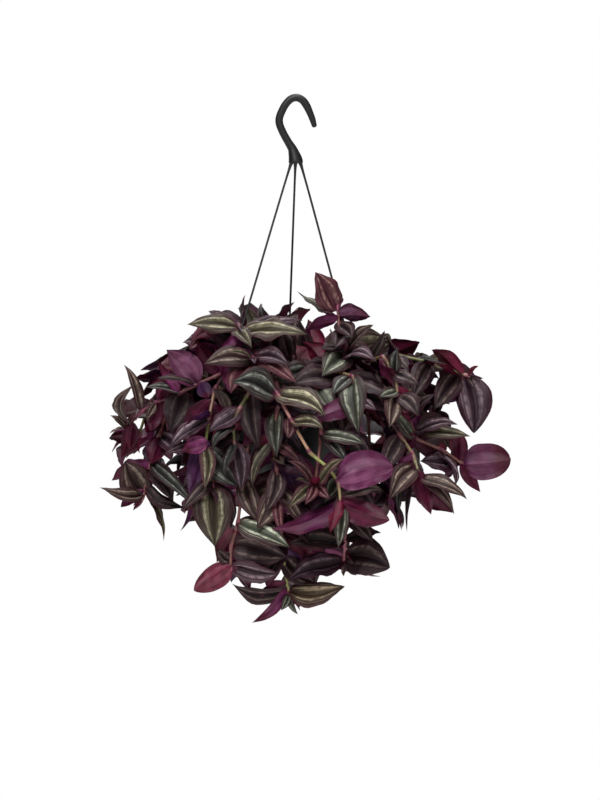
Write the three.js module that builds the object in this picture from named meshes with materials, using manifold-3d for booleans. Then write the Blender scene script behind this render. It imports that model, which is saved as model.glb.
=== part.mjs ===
// A hanging pot of purple striped tradescantia: a black plastic pot, its soil, a one-piece
// plastic hanger with a hook and three straps, and the leafy stems that spill over the rim.
// Millimetres, +Z up, front towards -Y. The origin is the inside top of the hook, where it hangs.
// Each leafy stem is one solid: a few-sided stem with its leaves fused to it at the joints.
// The stems that show at the front are placed one by one; the rest follow a seeded rule.

import * as THREE from "three";
import { mergeVertices } from "three/addons/utils/BufferGeometryUtils.js";
import Module from "manifold-3d";

const wasm = await Module();
wasm.setup();

// Driving dimensions of the pot, the soil and the hanger
const POT_X = -6;
const RIM_Z = -286;
const POT_HEIGHT = 105;
const POT_SIDES = 26;
const WALL = 2;
const RIM_RADIUS = 73;
const BODY_TOP_RADIUS = 66.5;
const BODY_FOOT_RADIUS = 48.5;
const FOOT_RING_WIDTH = 13;
const FOOT_RING_HEIGHT = 2;
const FLOOR_TOP = 4;
const CHAMFER = 1.5;
const BAND_HEIGHT = 14;
const BAND_OUT = 1.8;
const BAND_LIP_OUT = 2.6;
const FLANGE_THICK = 2.5;
const DRAIN_RADIUS = 4;
const DRAIN_CIRCLE = 27;
const DRAINS = 5;
const DRAIN_SIDES = 6;
const LUG_CIRCLE = 77.7;
const LUG_WIDTH = 12;
const LUG_HOLE_RADIUS = 2.5;
const LUG_ARC_STEPS = 5;
const SOIL_SIDES = 20;
const SOIL_DEPTH_BELOW_RIM = 14;
const SOIL_CROWN = 3;
const SOIL_INSET = 0.7;
const STRAP_TURNS = [92.8, 212.8, 332.8];
const STRAP_RADIUS = 1.1;
const STRAP_ROOT_RADIUS = 2.2;
const STRAP_BULGE = 3.2;
const STRAP_END_HEIGHT = 3.5;
const STRAP_SIDES = 5;
const HOOK_RADIUS = 3.9;
const HOOK_SIDES = 9;
const CLIP_SIDES = 6;
const HUB_X = -1.3;
const CLEARANCE = 0.3;

// Driving dimensions of the stems and leaves
const STEM_RADIUS = 2.5;
const STEM_TIP_RADIUS = 1.9;
const STEM_SIDES = 3;
const BASE_BACK = 2;
const BASE_STEP = 3;
const FOOT_DEPTH = 12;
const FOOT_RISE = 4;
const HOLE_RADIUS = 3.9;
const HOLE_SIDES = 4;
const LEAF_THICK = 0.72;
const LEAF_BOW = 0.1;
const LEAF_FOLD = 0.2;
const WIDEST_AT = 0.31;
const SHOULDER_AT = 0.7;
const SHOULDER_WIDTH = 0.76;
const KEEL_AT = 0.5;
const LEAF_CLEAR = 0.5;
const BLADE_START = 0.22;
const SEED = 41;

const SOIL_Z = RIM_Z - SOIL_DEPTH_BELOW_RIM;

const PLASTIC = new THREE.MeshStandardMaterial({ color: 0x16181a, roughness: 0.45, metalness: 0 });
const HOOK_PLASTIC = new THREE.MeshStandardMaterial({ color: 0x0e0f10, roughness: 0.5, metalness: 0 });
const SOIL = new THREE.MeshStandardMaterial({ color: 0x2a1d15, roughness: 0.95, metalness: 0 });
const FOLIAGE = new THREE.MeshStandardMaterial({ color: 0x4a3040, roughness: 0.4, metalness: 0 });

// The ways a leaf's upper face can look, one letter each, added together and made unit length
const WAYS = {
  L: new THREE.Vector3(-1, 0, 0),
  R: new THREE.Vector3(1, 0, 0),
  F: new THREE.Vector3(0, -1, 0),
  B: new THREE.Vector3(0, 1, 0),
  U: new THREE.Vector3(0, 0, 1),
  D: new THREE.Vector3(0, 0, -1),
};

// The stems at the front and the sides, from the soil outwards. Each has its foot (x, y) in the
// soil and its joints (x, y, z), and each joint its leaves: tip x, y, z, width, the way the upper
// face looks, and the bow where it isn't the usual one.
const PLACED_STEMS = {
  stem_top_right: {
    foot: [18, -34],
    joints: [
      [[40, -46, -274]],
      [
        [50, -58, -247],
        [77, -74, -226, 18, "FU"],
        [24, -80, -251, 17, "UF"],
        [25, -94, -278, 27, "FFU"],
        [80, -88, -264, 20, "UF", 0.24],
      ],
      [[42, -54, -229], [38, -82, -250, 18, "FU"]],
      [
        [41, -48, -209],
        [18, -56, -173, 30, "FR", 0.06],
        [74, -62, -218, 20, "UB"],
        [0, -54, -192, 17, "U"],
        [8, -72, -232, 18, "BU"],
        [55, -76, -240, 18, "FU"],
      ],
    ],
  },
  stem_upper_right: {
    foot: [34, -22],
    joints: [
      [[58, -40, -268]],
      [[74, -66, -262], [88, -74, -232, 17, "FR"]],
      [[86, -86, -258], [98, -100, -287, 17, "BL"]],
      [
        [98, -94, -277],
        [101, -102, -249, 15, "LF"],
        [122, -100, -287, 17, "UF"],
        [88, -106, -268, 18, "FU"],
      ],
      [
        [101, -104, -298],
        [121, -118, -318, 18, "FU"],
        [92, -116, -330, 19, "F"],
        [82, -116, -299, 14, "FU"],
      ],
    ],
  },
  stem_front_right: {
    foot: [10, -44],
    joints: [
      [[32, -68, -272]],
      [[56, -92, -278], [62, -112, -336, 27, "FL"], [36, -112, -296, 16, "UF"]],
      [[62, -114, -303], [16, -136, -319, 19, "B"], [79, -130, -312, 14, "FU"]],
    ],
  },
  stem_long_front: {
    foot: [-30, -30],
    joints: [
      [[-48, -48, -262]],
      [
        [-59, -66, -226],
        [-110, -76, -226, 22, "FU"],
        [-89, -60, -212, 18, "FU"],
        [10, -92, -236, 26, "FU"],
        [6, -68, -222, 21, "FU", 0.22],
      ],
      [
        [-43, -92, -261],
        [-93, -104, -266, 23, "FU"],
        [-7, -110, -268, 19, "FU"],
        [0, -112, -285, 18, "FFU"],
      ],
      [
        [-19, -112, -296],
        [-65, -126, -284, 28, "FFU"],
        [28, -136, -318, 27, "FU"],
      ],
      [
        [-5, -126, -323],
        [27, -144, -331, 17, "FU"],
        [-9, -140, -340, 13, "F"],
      ],
      [[13, -134, -354]],
      [[31, -138, -369]],
      [[41, -140, -383], [103, -152, -366, 36, "B", 0.05]],
      [
        [44, -136, -409],
        [-25, -144, -430, 22, "BD"],
        [92, -146, -421, 24, "B"],
        [33, -144, -433, 14, "BR"],
        [41, -130, -448, 15, "F"],
        [87, -124, -394, 15, "UF"],
      ],
    ],
  },
  stem_front_inner: {
    foot: [6, -42],
    joints: [
      [[13, -74, -268]],
      [[22, -108, -306]],
      [[24, -118, -336], [68, -132, -346, 20, "FU"], [50, -130, -366, 15, "FU"]],
      [[21, -124, -362]],
      [
        [18, -126, -386],
        [29, -138, -401, 10, "FU"],
        [50, -128, -371, 15, "UF"],
      ],
    ],
  },
  stem_centre_left: {
    foot: [-18, -42],
    joints: [
      [[-32, -78, -274]],
      [[-48, -100, -294], [-38, -116, -350, 21, "F"]],
      [[-58, -108, -311], [-88, -112, -334, 22, "FU"]],
      [[-64, -108, -326], [-84, -120, -352, 16, "FL"]],
      [[-62, -108, -346], [-56, -116, -392, 19, "F"], [-72, -120, -378, 14, "FL"]],
    ],
  },
  stem_centre: {
    foot: [-6, -36],
    joints: [
      [[-10, -72, -278]],
      [[-20, -100, -312], [-20, -120, -359, 18, "F"]],
      [[-24, -108, -345], [3, -124, -366, 17, "FR"], [-44, -118, -390, 16, "FL"]],
      [[-20, -110, -372], [-32, -122, -414, 18, "F"]],
      [
        [-18, -110, -392],
        [-40, -118, -430, 23, "F"],
        [6, -120, -427, 21, "FR"],
      ],
    ],
  },
  stem_left_front: {
    foot: [-34, -18],
    joints: [
      [[-66, -54, -270]],
      [[-82, -80, -290], [-70, -100, -318, 18, "FR"]],
      [[-88, -94, -320], [-127, -106, -350, 19, "FU"], [-112, -108, -329, 15, "BU"]],
      [
        [-92, -100, -352],
        [-57, -116, -389, 26, "F"],
        [-92, -116, -391, 15, "F"],
        [-132, -108, -356, 13, "UF"],
        [-108, -108, -396, 19, "B"],
      ],
      [
        [-84, -104, -388],
        [-82, -112, -448, 36, "F", 0.14],
        [-66, -106, -430, 22, "FR"],
        [-114, -110, -412, 16, "FU", 0.16],
      ],
    ],
  },
  stem_left_high: {
    foot: [-42, -6],
    joints: [
      [[-60, -22, -264]],
      [[-78, -48, -276], [-100, -62, -243, 17, "B"], [-84, -70, -250, 15, "FU"]],
      [[-101, -56, -286], [-131, -64, -251, 26, "B"], [-88, -76, -299, 14, "B"]],
      [
        [-120, -54, -296],
        [-139, -58, -262, 15, "BL"],
        [-152, -62, -289, 13, "UF"],
        [-127, -68, -334, 28, "F"],
      ],
      [[-142, -48, -304], [-147, -60, -333, 17, "B"], [-132, -52, -276, 14, "B"]],
      [[-157, -44, -314], [-174, -50, -266, 15, "RF", 0.12]],
      [
        [-171, -38, -329],
        [-162, -52, -285, 17, "LF", 0.34],
        [-168, -44, -352, 14, "BL"],
        [-177, -40, -360, 16, "B"],
      ],
    ],
  },
  stem_left_low: {
    foot: [-46, 8],
    joints: [
      [[-68, 4, -268]],
      [[-100, -8, -282], [-112, -34, -262, 20, "UF"]],
      [[-128, -24, -308], [-152, -40, -334, 19, "B"]],
      [[-140, -32, -340], [-147, -48, -366, 18, "B"], [-114, -54, -358, 20, "F"]],
      [[-148, -36, -368], [-124, -54, -404, 21, "F"], [-102, -62, -410, 15, "FU", 0.16]],
      [
        [-155, -40, -400],
        [-173, -50, -363, 32, "F", 0.06],
        [-198, -50, -389, 17, "FU"],
        [-177, -50, -409, 10, "B"],
        [-134, -44, -444, 15, "R"],
        [-112, -58, -410, 17, "FU", 0.16],
      ],
    ],
  },
  stem_right_high: {
    foot: [36, 4],
    joints: [
      [[60, 2, -260]],
      [[98, -12, -256], [112, -42, -272, 20, "FU"]],
      [[136, -20, -264], [116, -52, -300, 22, "F"]],
      [
        [172, -24, -277],
        [178, -42, -335, 33, "F"],
        [135, -44, -251, 17, "BU"],
        [122, -48, -260, 22, "UF"],
        [138, -46, -311, 23, "F"],
      ],
    ],
  },
  stem_right_mid: {
    foot: [40, -12],
    joints: [
      [[66, -30, -272]],
      [[94, -50, -294], [100, -78, -262, 17, "UF"]],
      [[112, -62, -320], [138, -76, -296, 18, "FU"]],
      [
        [120, -70, -340],
        [81, -92, -312, 22, "FU"],
        [107, -90, -354, 12, "BL"],
        [161, -86, -326, 18, "FU"],
        [174, -78, -338, 19, "FU"],
      ],
      [[146, -64, -352], [158, -78, -388, 18, "FR"]],
      [
        [169, -58, -367],
        [216, -66, -361, 33, "B"],
        [184, -62, -394, 12, "B"],
        [161, -66, -330, 15, "B"],
        [123, -84, -363, 26, "FU"],
      ],
    ],
  },
  stem_right_low: {
    foot: [30, -30],
    joints: [
      [[50, -62, -266]],
      [[84, -80, -308]],
      [[104, -88, -338], [84, -106, -375, 20, "F"]],
      [[116, -90, -356]],
      [
        [123, -90, -380],
        [170, -98, -401, 18, "FU"],
        [157, -94, -416, 14, "FR"],
        [134, -100, -416, 16, "B"],
        [103, -102, -416, 15, "FL"],
        [91, -106, -402, 22, "F"],
        [110, -92, -434, 12, "U"],
      ],
    ],
  },
  stem_bottom_right: {
    foot: [18, -20],
    joints: [
      [[30, -54, -262]],
      [[44, -88, -300]],
      [[48, -98, -336], [64, -114, -362, 19, "FR"]],
      [[50, -96, -372], [85, -112, -396, 20, "FU"]],
      [[50, -92, -410], [76, -106, -443, 20, "F"], [22, -106, -428, 19, "F"]],
      [[48, -88, -444], [-10, -106, -447, 23, "FU"], [84, -98, -434, 18, "FU"]],
      [
        [47, -84, -462],
        [-9, -98, -482, 27, "FU"],
        [93, -96, -469, 37, "F"],
        [84, -92, -478, 15, "D"],
      ],
    ],
  },
  stem_bottom_left: {
    foot: [-26, -14],
    joints: [
      [[-40, -56, -260]],
      [[-54, -88, -300]],
      [[-48, -94, -338]],
      [[-54, -98, -382], [-38, -110, -424, 20, "F"]],
      [[-59, -102, -424], [-7, -118, -449, 30, "FU"], [-84, -108, -440, 16, "B"]],
      [[-66, -100, -448], [-10, -112, -458, 33, "F"]],
      [
        [-66, -96, -472],
        [-17, -106, -474, 26, "FD"],
        [-103, -102, -492, 22, "B"],
        [-80, -104, -450, 12, "F"],
      ],
    ],
  },
  stem_bottom_mid: {
    foot: [-10, -18],
    joints: [
      [[-4, -50, -258]],
      [[-6, -86, -290]],
      [[-10, -96, -330], [4, -106, -352, 15, "FR"]],
      [[-14, -92, -376]],
      [[-16, -88, -420], [12, -104, -446, 20, "FR"], [-46, -100, -446, 18, "FL"]],
      [[-14, -84, -460], [20, -94, -487, 20, "F"]],
      [
        [-8, -80, -496],
        [-65, -88, -485, 18, "FD"],
        [48, -92, -488, 22, "FU"],
        [-45, -92, -524, 16, "B"],
      ],
    ],
  },
};

// The other stems, by habit. Each habit is a line of joints from the soil outwards: the distance
// from the pot's axis and the height above the soil. The last joint has a few leaves, the others one.
const HABITS = {
  hang: {
    foot: 47,
    endLeaves: 3,
    line: [
      [62, 26],
      [89, 10],
      [98, -24],
      [98, -59],
      [92, -92],
    ],
  },
  trail: {
    foot: 47,
    endLeaves: 3,
    line: [
      [62, 26],
      [88, 12],
      [94, -22],
      [91, -57],
      [85, -92],
      [76, -126],
      [68, -158],
    ],
  },
  spread: {
    foot: 33,
    endLeaves: 3,
    line: [
      [52, 38],
      [88, 40],
      [122, 24],
      [146, -2],
      [158, -34],
    ],
  },
  crown: {
    foot: 20,
    endLeaves: 2,
    line: [
      [26, 28],
      [48, 44],
      [78, 36],
      [102, 16],
      [118, -8],
    ],
  },
  top: {
    foot: 12,
    endLeaves: 2,
    line: [
      [17, 34],
      [30, 62],
      [54, 70],
      [82, 58],
      [100, 36],
    ],
  },
};
// The habit and the direction of each, in degrees about the pot's axis from +X towards the back
const RULED_STEMS = [
  ["hang", 4],
  ["hang", 32],
  ["hang", 56],
  ["hang", 130],
  ["hang", 154],
  ["hang", 180],
  ["trail", 70],
  ["trail", 84],
  ["trail", 106],
  ["spread", 18],
  ["spread", 44],
  ["spread", 68],
  ["spread", 118],
  ["spread", 142],
  ["spread", 168],
  ["crown", -16],
  ["crown", 54],
  ["crown", 196],
  ["top", 110],
  ["top", 146],
  ["top", 182],
];
const JOINT_JITTER = 5;
// A ruled leaf: its length and slimness, and how its way out of the stem and its upper face lie
const RULED_LEAF = {
  length: 52,
  lengthSpread: 11,
  slimness: 0.47,
  lean: 0.9,
  leanSpread: 0.3,
  rise: 0.15,
  riseSpread: 0.35,
  outward: 0.45,
  forward: 0.55,
  forwardStep: 0.25,
  faceOut: 0.8,
  faceUp: 0.75,
  flipped: 0.16,
};

// Where a leaf that would touch another stem goes instead, in this order: a placed leaf's tip
// moves in depth, in mm, and a ruled leaf swings about its stem, in degrees, and is shortened.
const TIP_SHIFTS = [0, -7, 7, -14, 14, -22, 22, -30];
const SWINGS = [
  [0, 1],
  [24, 1],
  [-24, 1],
  [48, 0.92],
  [-48, 0.92],
  [75, 0.85],
  [-75, 0.85],
  [110, 0.75],
  [-110, 0.75],
  [160, 0.65],
];

// Helpers

function solidOf(geometry) {
  const bare = geometry.clone();
  bare.deleteAttribute("normal");
  bare.deleteAttribute("uv");
  const merged = mergeVertices(bare, 1e-4);
  const corners = merged.index.array;
  const kept = [];
  for (let i = 0; i < corners.length; i += 3) {
    const [a, b, c] = [corners[i], corners[i + 1], corners[i + 2]];
    if (a !== b && b !== c && a !== c) kept.push(a, b, c);
  }
  return new wasm.Manifold(
    new wasm.Mesh({
      numProp: 3,
      vertProperties: new Float32Array(merged.attributes.position.array),
      triVerts: new Uint32Array(kept),
    }),
  );
}

function indexed(points, triangles) {
  const geometry = new THREE.BufferGeometry();
  const flat = points.flatMap((p) => [p.x, p.y, p.z]);
  geometry.setAttribute("position", new THREE.Float32BufferAttribute(flat, 3));
  geometry.setIndex(triangles);
  return geometry;
}

function meshOf(name, solid, material) {
  const { vertProperties, triVerts } = solid.getMesh();
  const geometry = new THREE.BufferGeometry();
  geometry.setAttribute("position", new THREE.BufferAttribute(vertProperties, 3));
  geometry.setIndex(new THREE.BufferAttribute(triVerts, 1));
  geometry.computeVertexNormals();
  const mesh = new THREE.Mesh(geometry, material);
  mesh.name = name;
  return mesh;
}

// A round body about a vertical axis, from a profile of [radius, height] that starts and ends on it
function turned(profile, sides, x, z) {
  const geometry = new THREE.LatheGeometry(profile.map(([r, h]) => new THREE.Vector2(r, h)), sides);
  geometry.rotateX(Math.PI / 2);
  geometry.translate(x, 0, z);
  return solidOf(geometry);
}

// A closed rod through stations [point, radius]. Its section keeps from twisting along the way.
function rod(stations, sides) {
  const points = [];
  const triangles = [];
  let side = new THREE.Vector3(0.31, 0.95, 0.05);
  stations.forEach(([at, radius], i) => {
    const before = stations[Math.max(i - 1, 0)][0];
    const after = stations[Math.min(i + 1, stations.length - 1)][0];
    const along = after.clone().sub(before).normalize();
    side = side.clone().addScaledVector(along, -side.dot(along)).normalize();
    const other = along.clone().cross(side);
    for (let k = 0; k < sides; k++) {
      const turn = (2 * Math.PI * k) / sides;
      const out = side.clone().multiplyScalar(Math.cos(turn)).addScaledVector(other, Math.sin(turn));
      points.push(at.clone().addScaledVector(out, radius));
    }
  });
  for (let i = 0; i + 1 < stations.length; i++) {
    for (let k = 0; k < sides; k++) {
      const a = i * sides + k;
      const b = i * sides + ((k + 1) % sides);
      triangles.push(a, b, b + sides, a, b + sides, a + sides);
    }
  }
  const last = (stations.length - 1) * sides;
  for (let k = 1; k + 1 < sides; k++) {
    triangles.push(0, k + 1, k, last, last + k, last + k + 1);
  }
  return solidOf(indexed(points, triangles));
}

// Pseudo-random numbers from 0 to 1, the same each run
function randomFrom(seed) {
  let state = seed >>> 0;
  return () => {
    state = (state + 0x6d2b79f5) >>> 0;
    let t = state;
    t = Math.imul(t ^ (t >>> 15), t | 1);
    t ^= t + Math.imul(t ^ (t >>> 7), t | 61);
    return ((t ^ (t >>> 14)) >>> 0) / 4294967296;
  };
}

// The pot, with its lip, three lugs for the hanger and its drain holes

function lug(turn) {
  const shape = new THREE.Shape();
  const half = LUG_WIDTH / 2;
  shape.moveTo(BODY_TOP_RADIUS, -half);
  shape.lineTo(LUG_CIRCLE, -half);
  shape.absarc(LUG_CIRCLE, 0, half, -Math.PI / 2, Math.PI / 2, false);
  shape.lineTo(BODY_TOP_RADIUS, half);
  const hole = new THREE.Path();
  hole.absarc(LUG_CIRCLE, 0, LUG_HOLE_RADIUS, 0, 2 * Math.PI, true);
  shape.holes.push(hole);
  const plate = { depth: FLANGE_THICK, bevelEnabled: false, curveSegments: LUG_ARC_STEPS };
  const geometry = new THREE.ExtrudeGeometry(shape, plate);
  geometry.rotateZ(THREE.MathUtils.degToRad(turn));
  geometry.translate(POT_X, 0, RIM_Z - FLANGE_THICK);
  return solidOf(geometry);
}

function pot() {
  const band = POT_HEIGHT - BAND_HEIGHT;
  const flange = POT_HEIGHT - FLANGE_THICK;
  const ringInside = BODY_FOOT_RADIUS - FOOT_RING_WIDTH;
  const body = turned(
    [
      [0, FOOT_RING_HEIGHT],
      [ringInside - CHAMFER, FOOT_RING_HEIGHT],
      [ringInside, 0],
      [BODY_FOOT_RADIUS - CHAMFER, 0],
      [BODY_FOOT_RADIUS, CHAMFER],
      [BODY_TOP_RADIUS, band],
      [BODY_TOP_RADIUS + BAND_OUT, band],
      [BODY_TOP_RADIUS + BAND_LIP_OUT, flange],
      [RIM_RADIUS, flange],
      [RIM_RADIUS, POT_HEIGHT],
      [BODY_TOP_RADIUS + BAND_LIP_OUT - BAND_OUT, POT_HEIGHT],
      [BODY_TOP_RADIUS - WALL, band - WALL],
      [BODY_FOOT_RADIUS - WALL, FLOOR_TOP],
      [0, FLOOR_TOP],
    ],
    POT_SIDES,
    POT_X,
    RIM_Z - POT_HEIGHT,
  );
  const ringDepth = 2 * FLANGE_THICK;
  const inside = new THREE.CylinderGeometry(BODY_TOP_RADIUS, BODY_TOP_RADIUS, ringDepth, POT_SIDES);
  inside.rotateX(Math.PI / 2);
  inside.translate(POT_X, 0, RIM_Z);
  let made = body;
  for (const turn of STRAP_TURNS) {
    made = made.add(lug(turn).subtract(solidOf(inside)));
  }
  for (let i = 0; i <= DRAINS; i++) {
    const drain = new THREE.CylinderGeometry(DRAIN_RADIUS, DRAIN_RADIUS, 3 * FLOOR_TOP, DRAIN_SIDES);
    const turn = (2 * Math.PI * i) / DRAINS;
    const out = i < DRAINS ? DRAIN_CIRCLE : 0;
    drain.rotateX(Math.PI / 2);
    drain.translate(POT_X + out * Math.cos(turn), out * Math.sin(turn), RIM_Z - POT_HEIGHT);
    made = made.subtract(solidOf(drain));
  }
  return made;
}

// The soil, a clearance inside the pot, with a plain hole for each stem

function soil(feet) {
  const top = POT_HEIGHT - SOIL_DEPTH_BELOW_RIM;
  const edge = BODY_TOP_RADIUS - WALL - 1.5 * SOIL_INSET;
  const crownTurn = 0.6;
  let made = turned(
    [
      [0, FLOOR_TOP + CLEARANCE],
      [BODY_FOOT_RADIUS - WALL - SOIL_INSET, FLOOR_TOP + CLEARANCE],
      [edge, top - WALL],
      [edge * crownTurn, top + SOIL_CROWN * crownTurn],
      [0, top + SOIL_CROWN],
    ],
    SOIL_SIDES,
    POT_X,
    RIM_Z - POT_HEIGHT,
  );
  const depth = FOOT_DEPTH + CLEARANCE;
  const height = depth + 2 * FOOT_RISE;
  for (const foot of feet) {
    const hole = new THREE.CylinderGeometry(HOLE_RADIUS, HOLE_RADIUS, height, HOLE_SIDES);
    hole.rotateX(Math.PI / 2);
    hole.translate(foot.x, foot.y, SOIL_Z - depth + height / 2);
    made = made.subtract(solidOf(hole));
  }
  return made;
}

// The hanger, moulded in one piece: the hook, the hub and three straps that clip into the lugs

// The hook and hub: x, z and the rod's radius at each station
const HOOK_LINE = [
  [17.5, -24.5, 2.6],
  [15.4, -17.5, 3.2],
  [12.6, -10.5, 3.5],
  [9.6, -4.2, HOOK_RADIUS],
  [5.6, 1.2, HOOK_RADIUS],
  [0, 3.9, HOOK_RADIUS],
  [-6, 2.6, HOOK_RADIUS],
  [-11.2, -2.4, HOOK_RADIUS],
  [-15, -9, HOOK_RADIUS],
  [-17.8, -16.5, HOOK_RADIUS],
  [-17.6, -23, HOOK_RADIUS],
  [-14, -31.8, HOOK_RADIUS],
  [-9, -40.8, HOOK_RADIUS],
  [-5.4, -47.5, 3.8],
  [-3.4, -53, 5],
  [-1.8, -58, 6.6],
  [HUB_X, -61, 7.2],
  [HUB_X, -62.4, 6.2],
];
const STRAP_ROOT = { radius: 4.4, z: -60 };
// The stud under each strap that snaps into a lug: radius and height from the lug's upper face
const CLIP_PROFILE = [
  [0, -8.6],
  [1.3, -8.6],
  [3.3, -FLANGE_THICK - CLEARANCE],
  [1.9, -FLANGE_THICK - CLEARANCE],
  [1.9, CLEARANCE],
  [3.6, CLEARANCE],
  [3.6, 2],
  [1.7, 5],
  [0, 5],
];

function around(radius, turn, z) {
  const angle = THREE.MathUtils.degToRad(turn);
  return new THREE.Vector3(POT_X + radius * Math.cos(angle), radius * Math.sin(angle), z);
}

function strap(turn) {
  const root = around(STRAP_ROOT.radius, turn, STRAP_ROOT.z);
  root.x += HUB_X - POT_X;
  const end = around(LUG_CIRCLE, turn, RIM_Z + STRAP_END_HEIGHT);
  const outward = around(1, turn, 0).sub(around(0, turn, 0));
  const stations = [0, 0.06, 0.2, 0.4, 0.7, 1].map((t) => {
    const at = root.clone().lerp(end, t);
    at.addScaledVector(outward, STRAP_BULGE * Math.sin(Math.PI * Math.sqrt(t)) * (1 - t));
    return [at, t === 0 ? STRAP_ROOT_RADIUS : STRAP_RADIUS];
  });
  return rod(stations, STRAP_SIDES);
}

function hanger() {
  let made = rod(HOOK_LINE.map(([x, z, radius]) => [new THREE.Vector3(x, 0, z), radius]), HOOK_SIDES);
  for (const turn of STRAP_TURNS) {
    const seat = around(LUG_CIRCLE, turn, RIM_Z);
    const clip = turned(CLIP_PROFILE, CLIP_SIDES, 0, 0).translate([seat.x, seat.y, seat.z]);
    made = made.add(strap(turn)).add(clip);
  }
  return made;
}

// The stems and leaves

function look(letters) {
  const way = new THREE.Vector3();
  for (const letter of letters) way.add(WAYS[letter]);
  return way.normalize();
}

// A leaf is a thin blade from its base, sunk in the stem, to its tip: bowed along its length,
// with its midrib lower than its edges, and split into the same triangles on both faces.
// Its corners are the base, the two widest points, the midrib, the two shoulders and the tip.
const TOP_FACE = [0, 2, 1, 1, 2, 3, 2, 5, 3, 1, 3, 4, 3, 5, 6, 3, 6, 4];
const EDGE = [0, 2, 5, 6, 4, 1];

function leafSolid({ base, tip, face, width, bow }, thick, grow) {
  const along = tip.clone().sub(base);
  const length = along.length();
  along.divideScalar(length);
  const up = face.clone().addScaledVector(along, -face.dot(along)).normalize();
  const side = along.clone().cross(up);
  const corner = (at, across, lift) => {
    const rise = 4 * bow * length * at * (1 - at) + lift;
    const point = base.clone().addScaledVector(along, length * at);
    return point.addScaledVector(side, across).addScaledVector(up, rise);
  };
  const half = width / 2 + grow;
  const shoulder = half * SHOULDER_WIDTH;
  const middle = [
    corner(0, 0, 0),
    corner(WIDEST_AT, -half, 0),
    corner(WIDEST_AT, half, 0),
    corner(KEEL_AT, 0, -LEAF_FOLD * half),
    corner(SHOULDER_AT, -shoulder, 0),
    corner(SHOULDER_AT, shoulder, 0),
    corner(1 + grow / length, 0, 0),
  ];
  const upper = middle.map((p) => p.clone().addScaledVector(up, thick / 2));
  const lower = middle.map((p) => p.clone().addScaledVector(up, -thick / 2));
  const count = middle.length;
  const triangles = [];
  for (let i = 0; i < TOP_FACE.length; i += 3) {
    const [a, b, c] = TOP_FACE.slice(i, i + 3);
    triangles.push(a, b, c, count + a, count + c, count + b);
  }
  EDGE.forEach((a, i) => {
    const b = EDGE[(i + 1) % EDGE.length];
    triangles.push(a, count + a, count + b, a, count + b, b);
  });
  return solidOf(indexed([...upper, ...lower], triangles));
}

// Where the n-th leaf of a joint grows: a little below the joint, each further back than the last
function leafBase(joint, stemWay, n) {
  return joint.clone().addScaledVector(stemWay, -BASE_BACK - BASE_STEP * n);
}

function placedStem(name, { foot, joints }) {
  const ground = new THREE.Vector3(foot[0], foot[1], SOIL_Z);
  const at = joints.map(([point]) => new THREE.Vector3(...point));
  const leaves = [];
  joints.forEach(([, ...blades], i) => {
    const stemWay = at[i].clone().sub(i ? at[i - 1] : ground).normalize();
    blades.forEach(([x, y, z, width, way, bow = LEAF_BOW], n) => {
      const tries = TIP_SHIFTS.map((shift) => new THREE.Vector3(x, y + shift, z));
      leaves.push({ base: leafBase(at[i], stemWay, n), tries, face: look(way), width, bow });
    });
  });
  return { name, foot: ground, joints: at, leaves };
}

function ruledStem(habit, turn, index) {
  const random = randomFrom(SEED + index);
  const spread = (size) => size * (2 * random() - 1);
  const { foot, endLeaves, line } = HABITS[habit];
  const joints = line.map(([radius, height], i) => {
    const loose = JOINT_JITTER * Math.min(1, (i + 1) / 3);
    const at = around(radius, turn, SOIL_Z + height);
    return at.add(new THREE.Vector3(spread(loose), spread(loose), spread(loose)));
  });
  const leaves = [];
  joints.forEach((joint, i) => {
    const count = i === joints.length - 1 ? endLeaves : 1;
    const before = i ? joints[i - 1] : around(foot, turn, SOIL_Z);
    const stemWay = joint.clone().sub(before).normalize();
    const outward = new THREE.Vector3(joint.x - POT_X, joint.y, 0).normalize();
    const up = new THREE.Vector3(0, 0, 1);
    const sideways = outward.clone().cross(up);
    for (let n = 0; n < count; n++) {
      const hand = (i + n) % 2 ? 1 : -1;
      const length = RULED_LEAF.length + spread(RULED_LEAF.lengthSpread);
      const lean = RULED_LEAF.lean + spread(RULED_LEAF.leanSpread);
      const rise = RULED_LEAF.rise + spread(RULED_LEAF.riseSpread);
      const flip = random() < RULED_LEAF.flipped ? -1 : 1;
      const way = stemWay.clone().multiplyScalar(RULED_LEAF.forward + RULED_LEAF.forwardStep * n);
      way.addScaledVector(sideways, n === 2 ? 0 : hand * lean);
      way.addScaledVector(outward, RULED_LEAF.outward);
      way.addScaledVector(up, rise);
      way.normalize();
      const face = outward.clone().multiplyScalar(RULED_LEAF.faceOut * flip);
      face.addScaledVector(up, RULED_LEAF.faceUp);
      const base = leafBase(joint, stemWay, n);
      const tries = SWINGS.map(([swing, scale]) => {
        const swung = way.clone().applyAxisAngle(stemWay, THREE.MathUtils.degToRad(swing));
        return base.clone().addScaledVector(swung, length * scale);
      });
      leaves.push({ base, tries, face, width: length * RULED_LEAF.slimness, bow: LEAF_BOW });
    }
  });
  return { name: `stem_${habit}_${index}`, foot: around(foot, turn, SOIL_Z), joints, leaves };
}

function stemSolid({ foot, joints }) {
  const below = foot.clone();
  below.z -= FOOT_DEPTH;
  const collar = foot.clone();
  collar.z += FOOT_RISE;
  const line = [below, collar, ...joints];
  const step = (STEM_RADIUS - STEM_TIP_RADIUS) / (line.length - 1);
  return rod(line.map((at, i) => [at, STEM_RADIUS - step * i]), STEM_SIDES);
}

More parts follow.
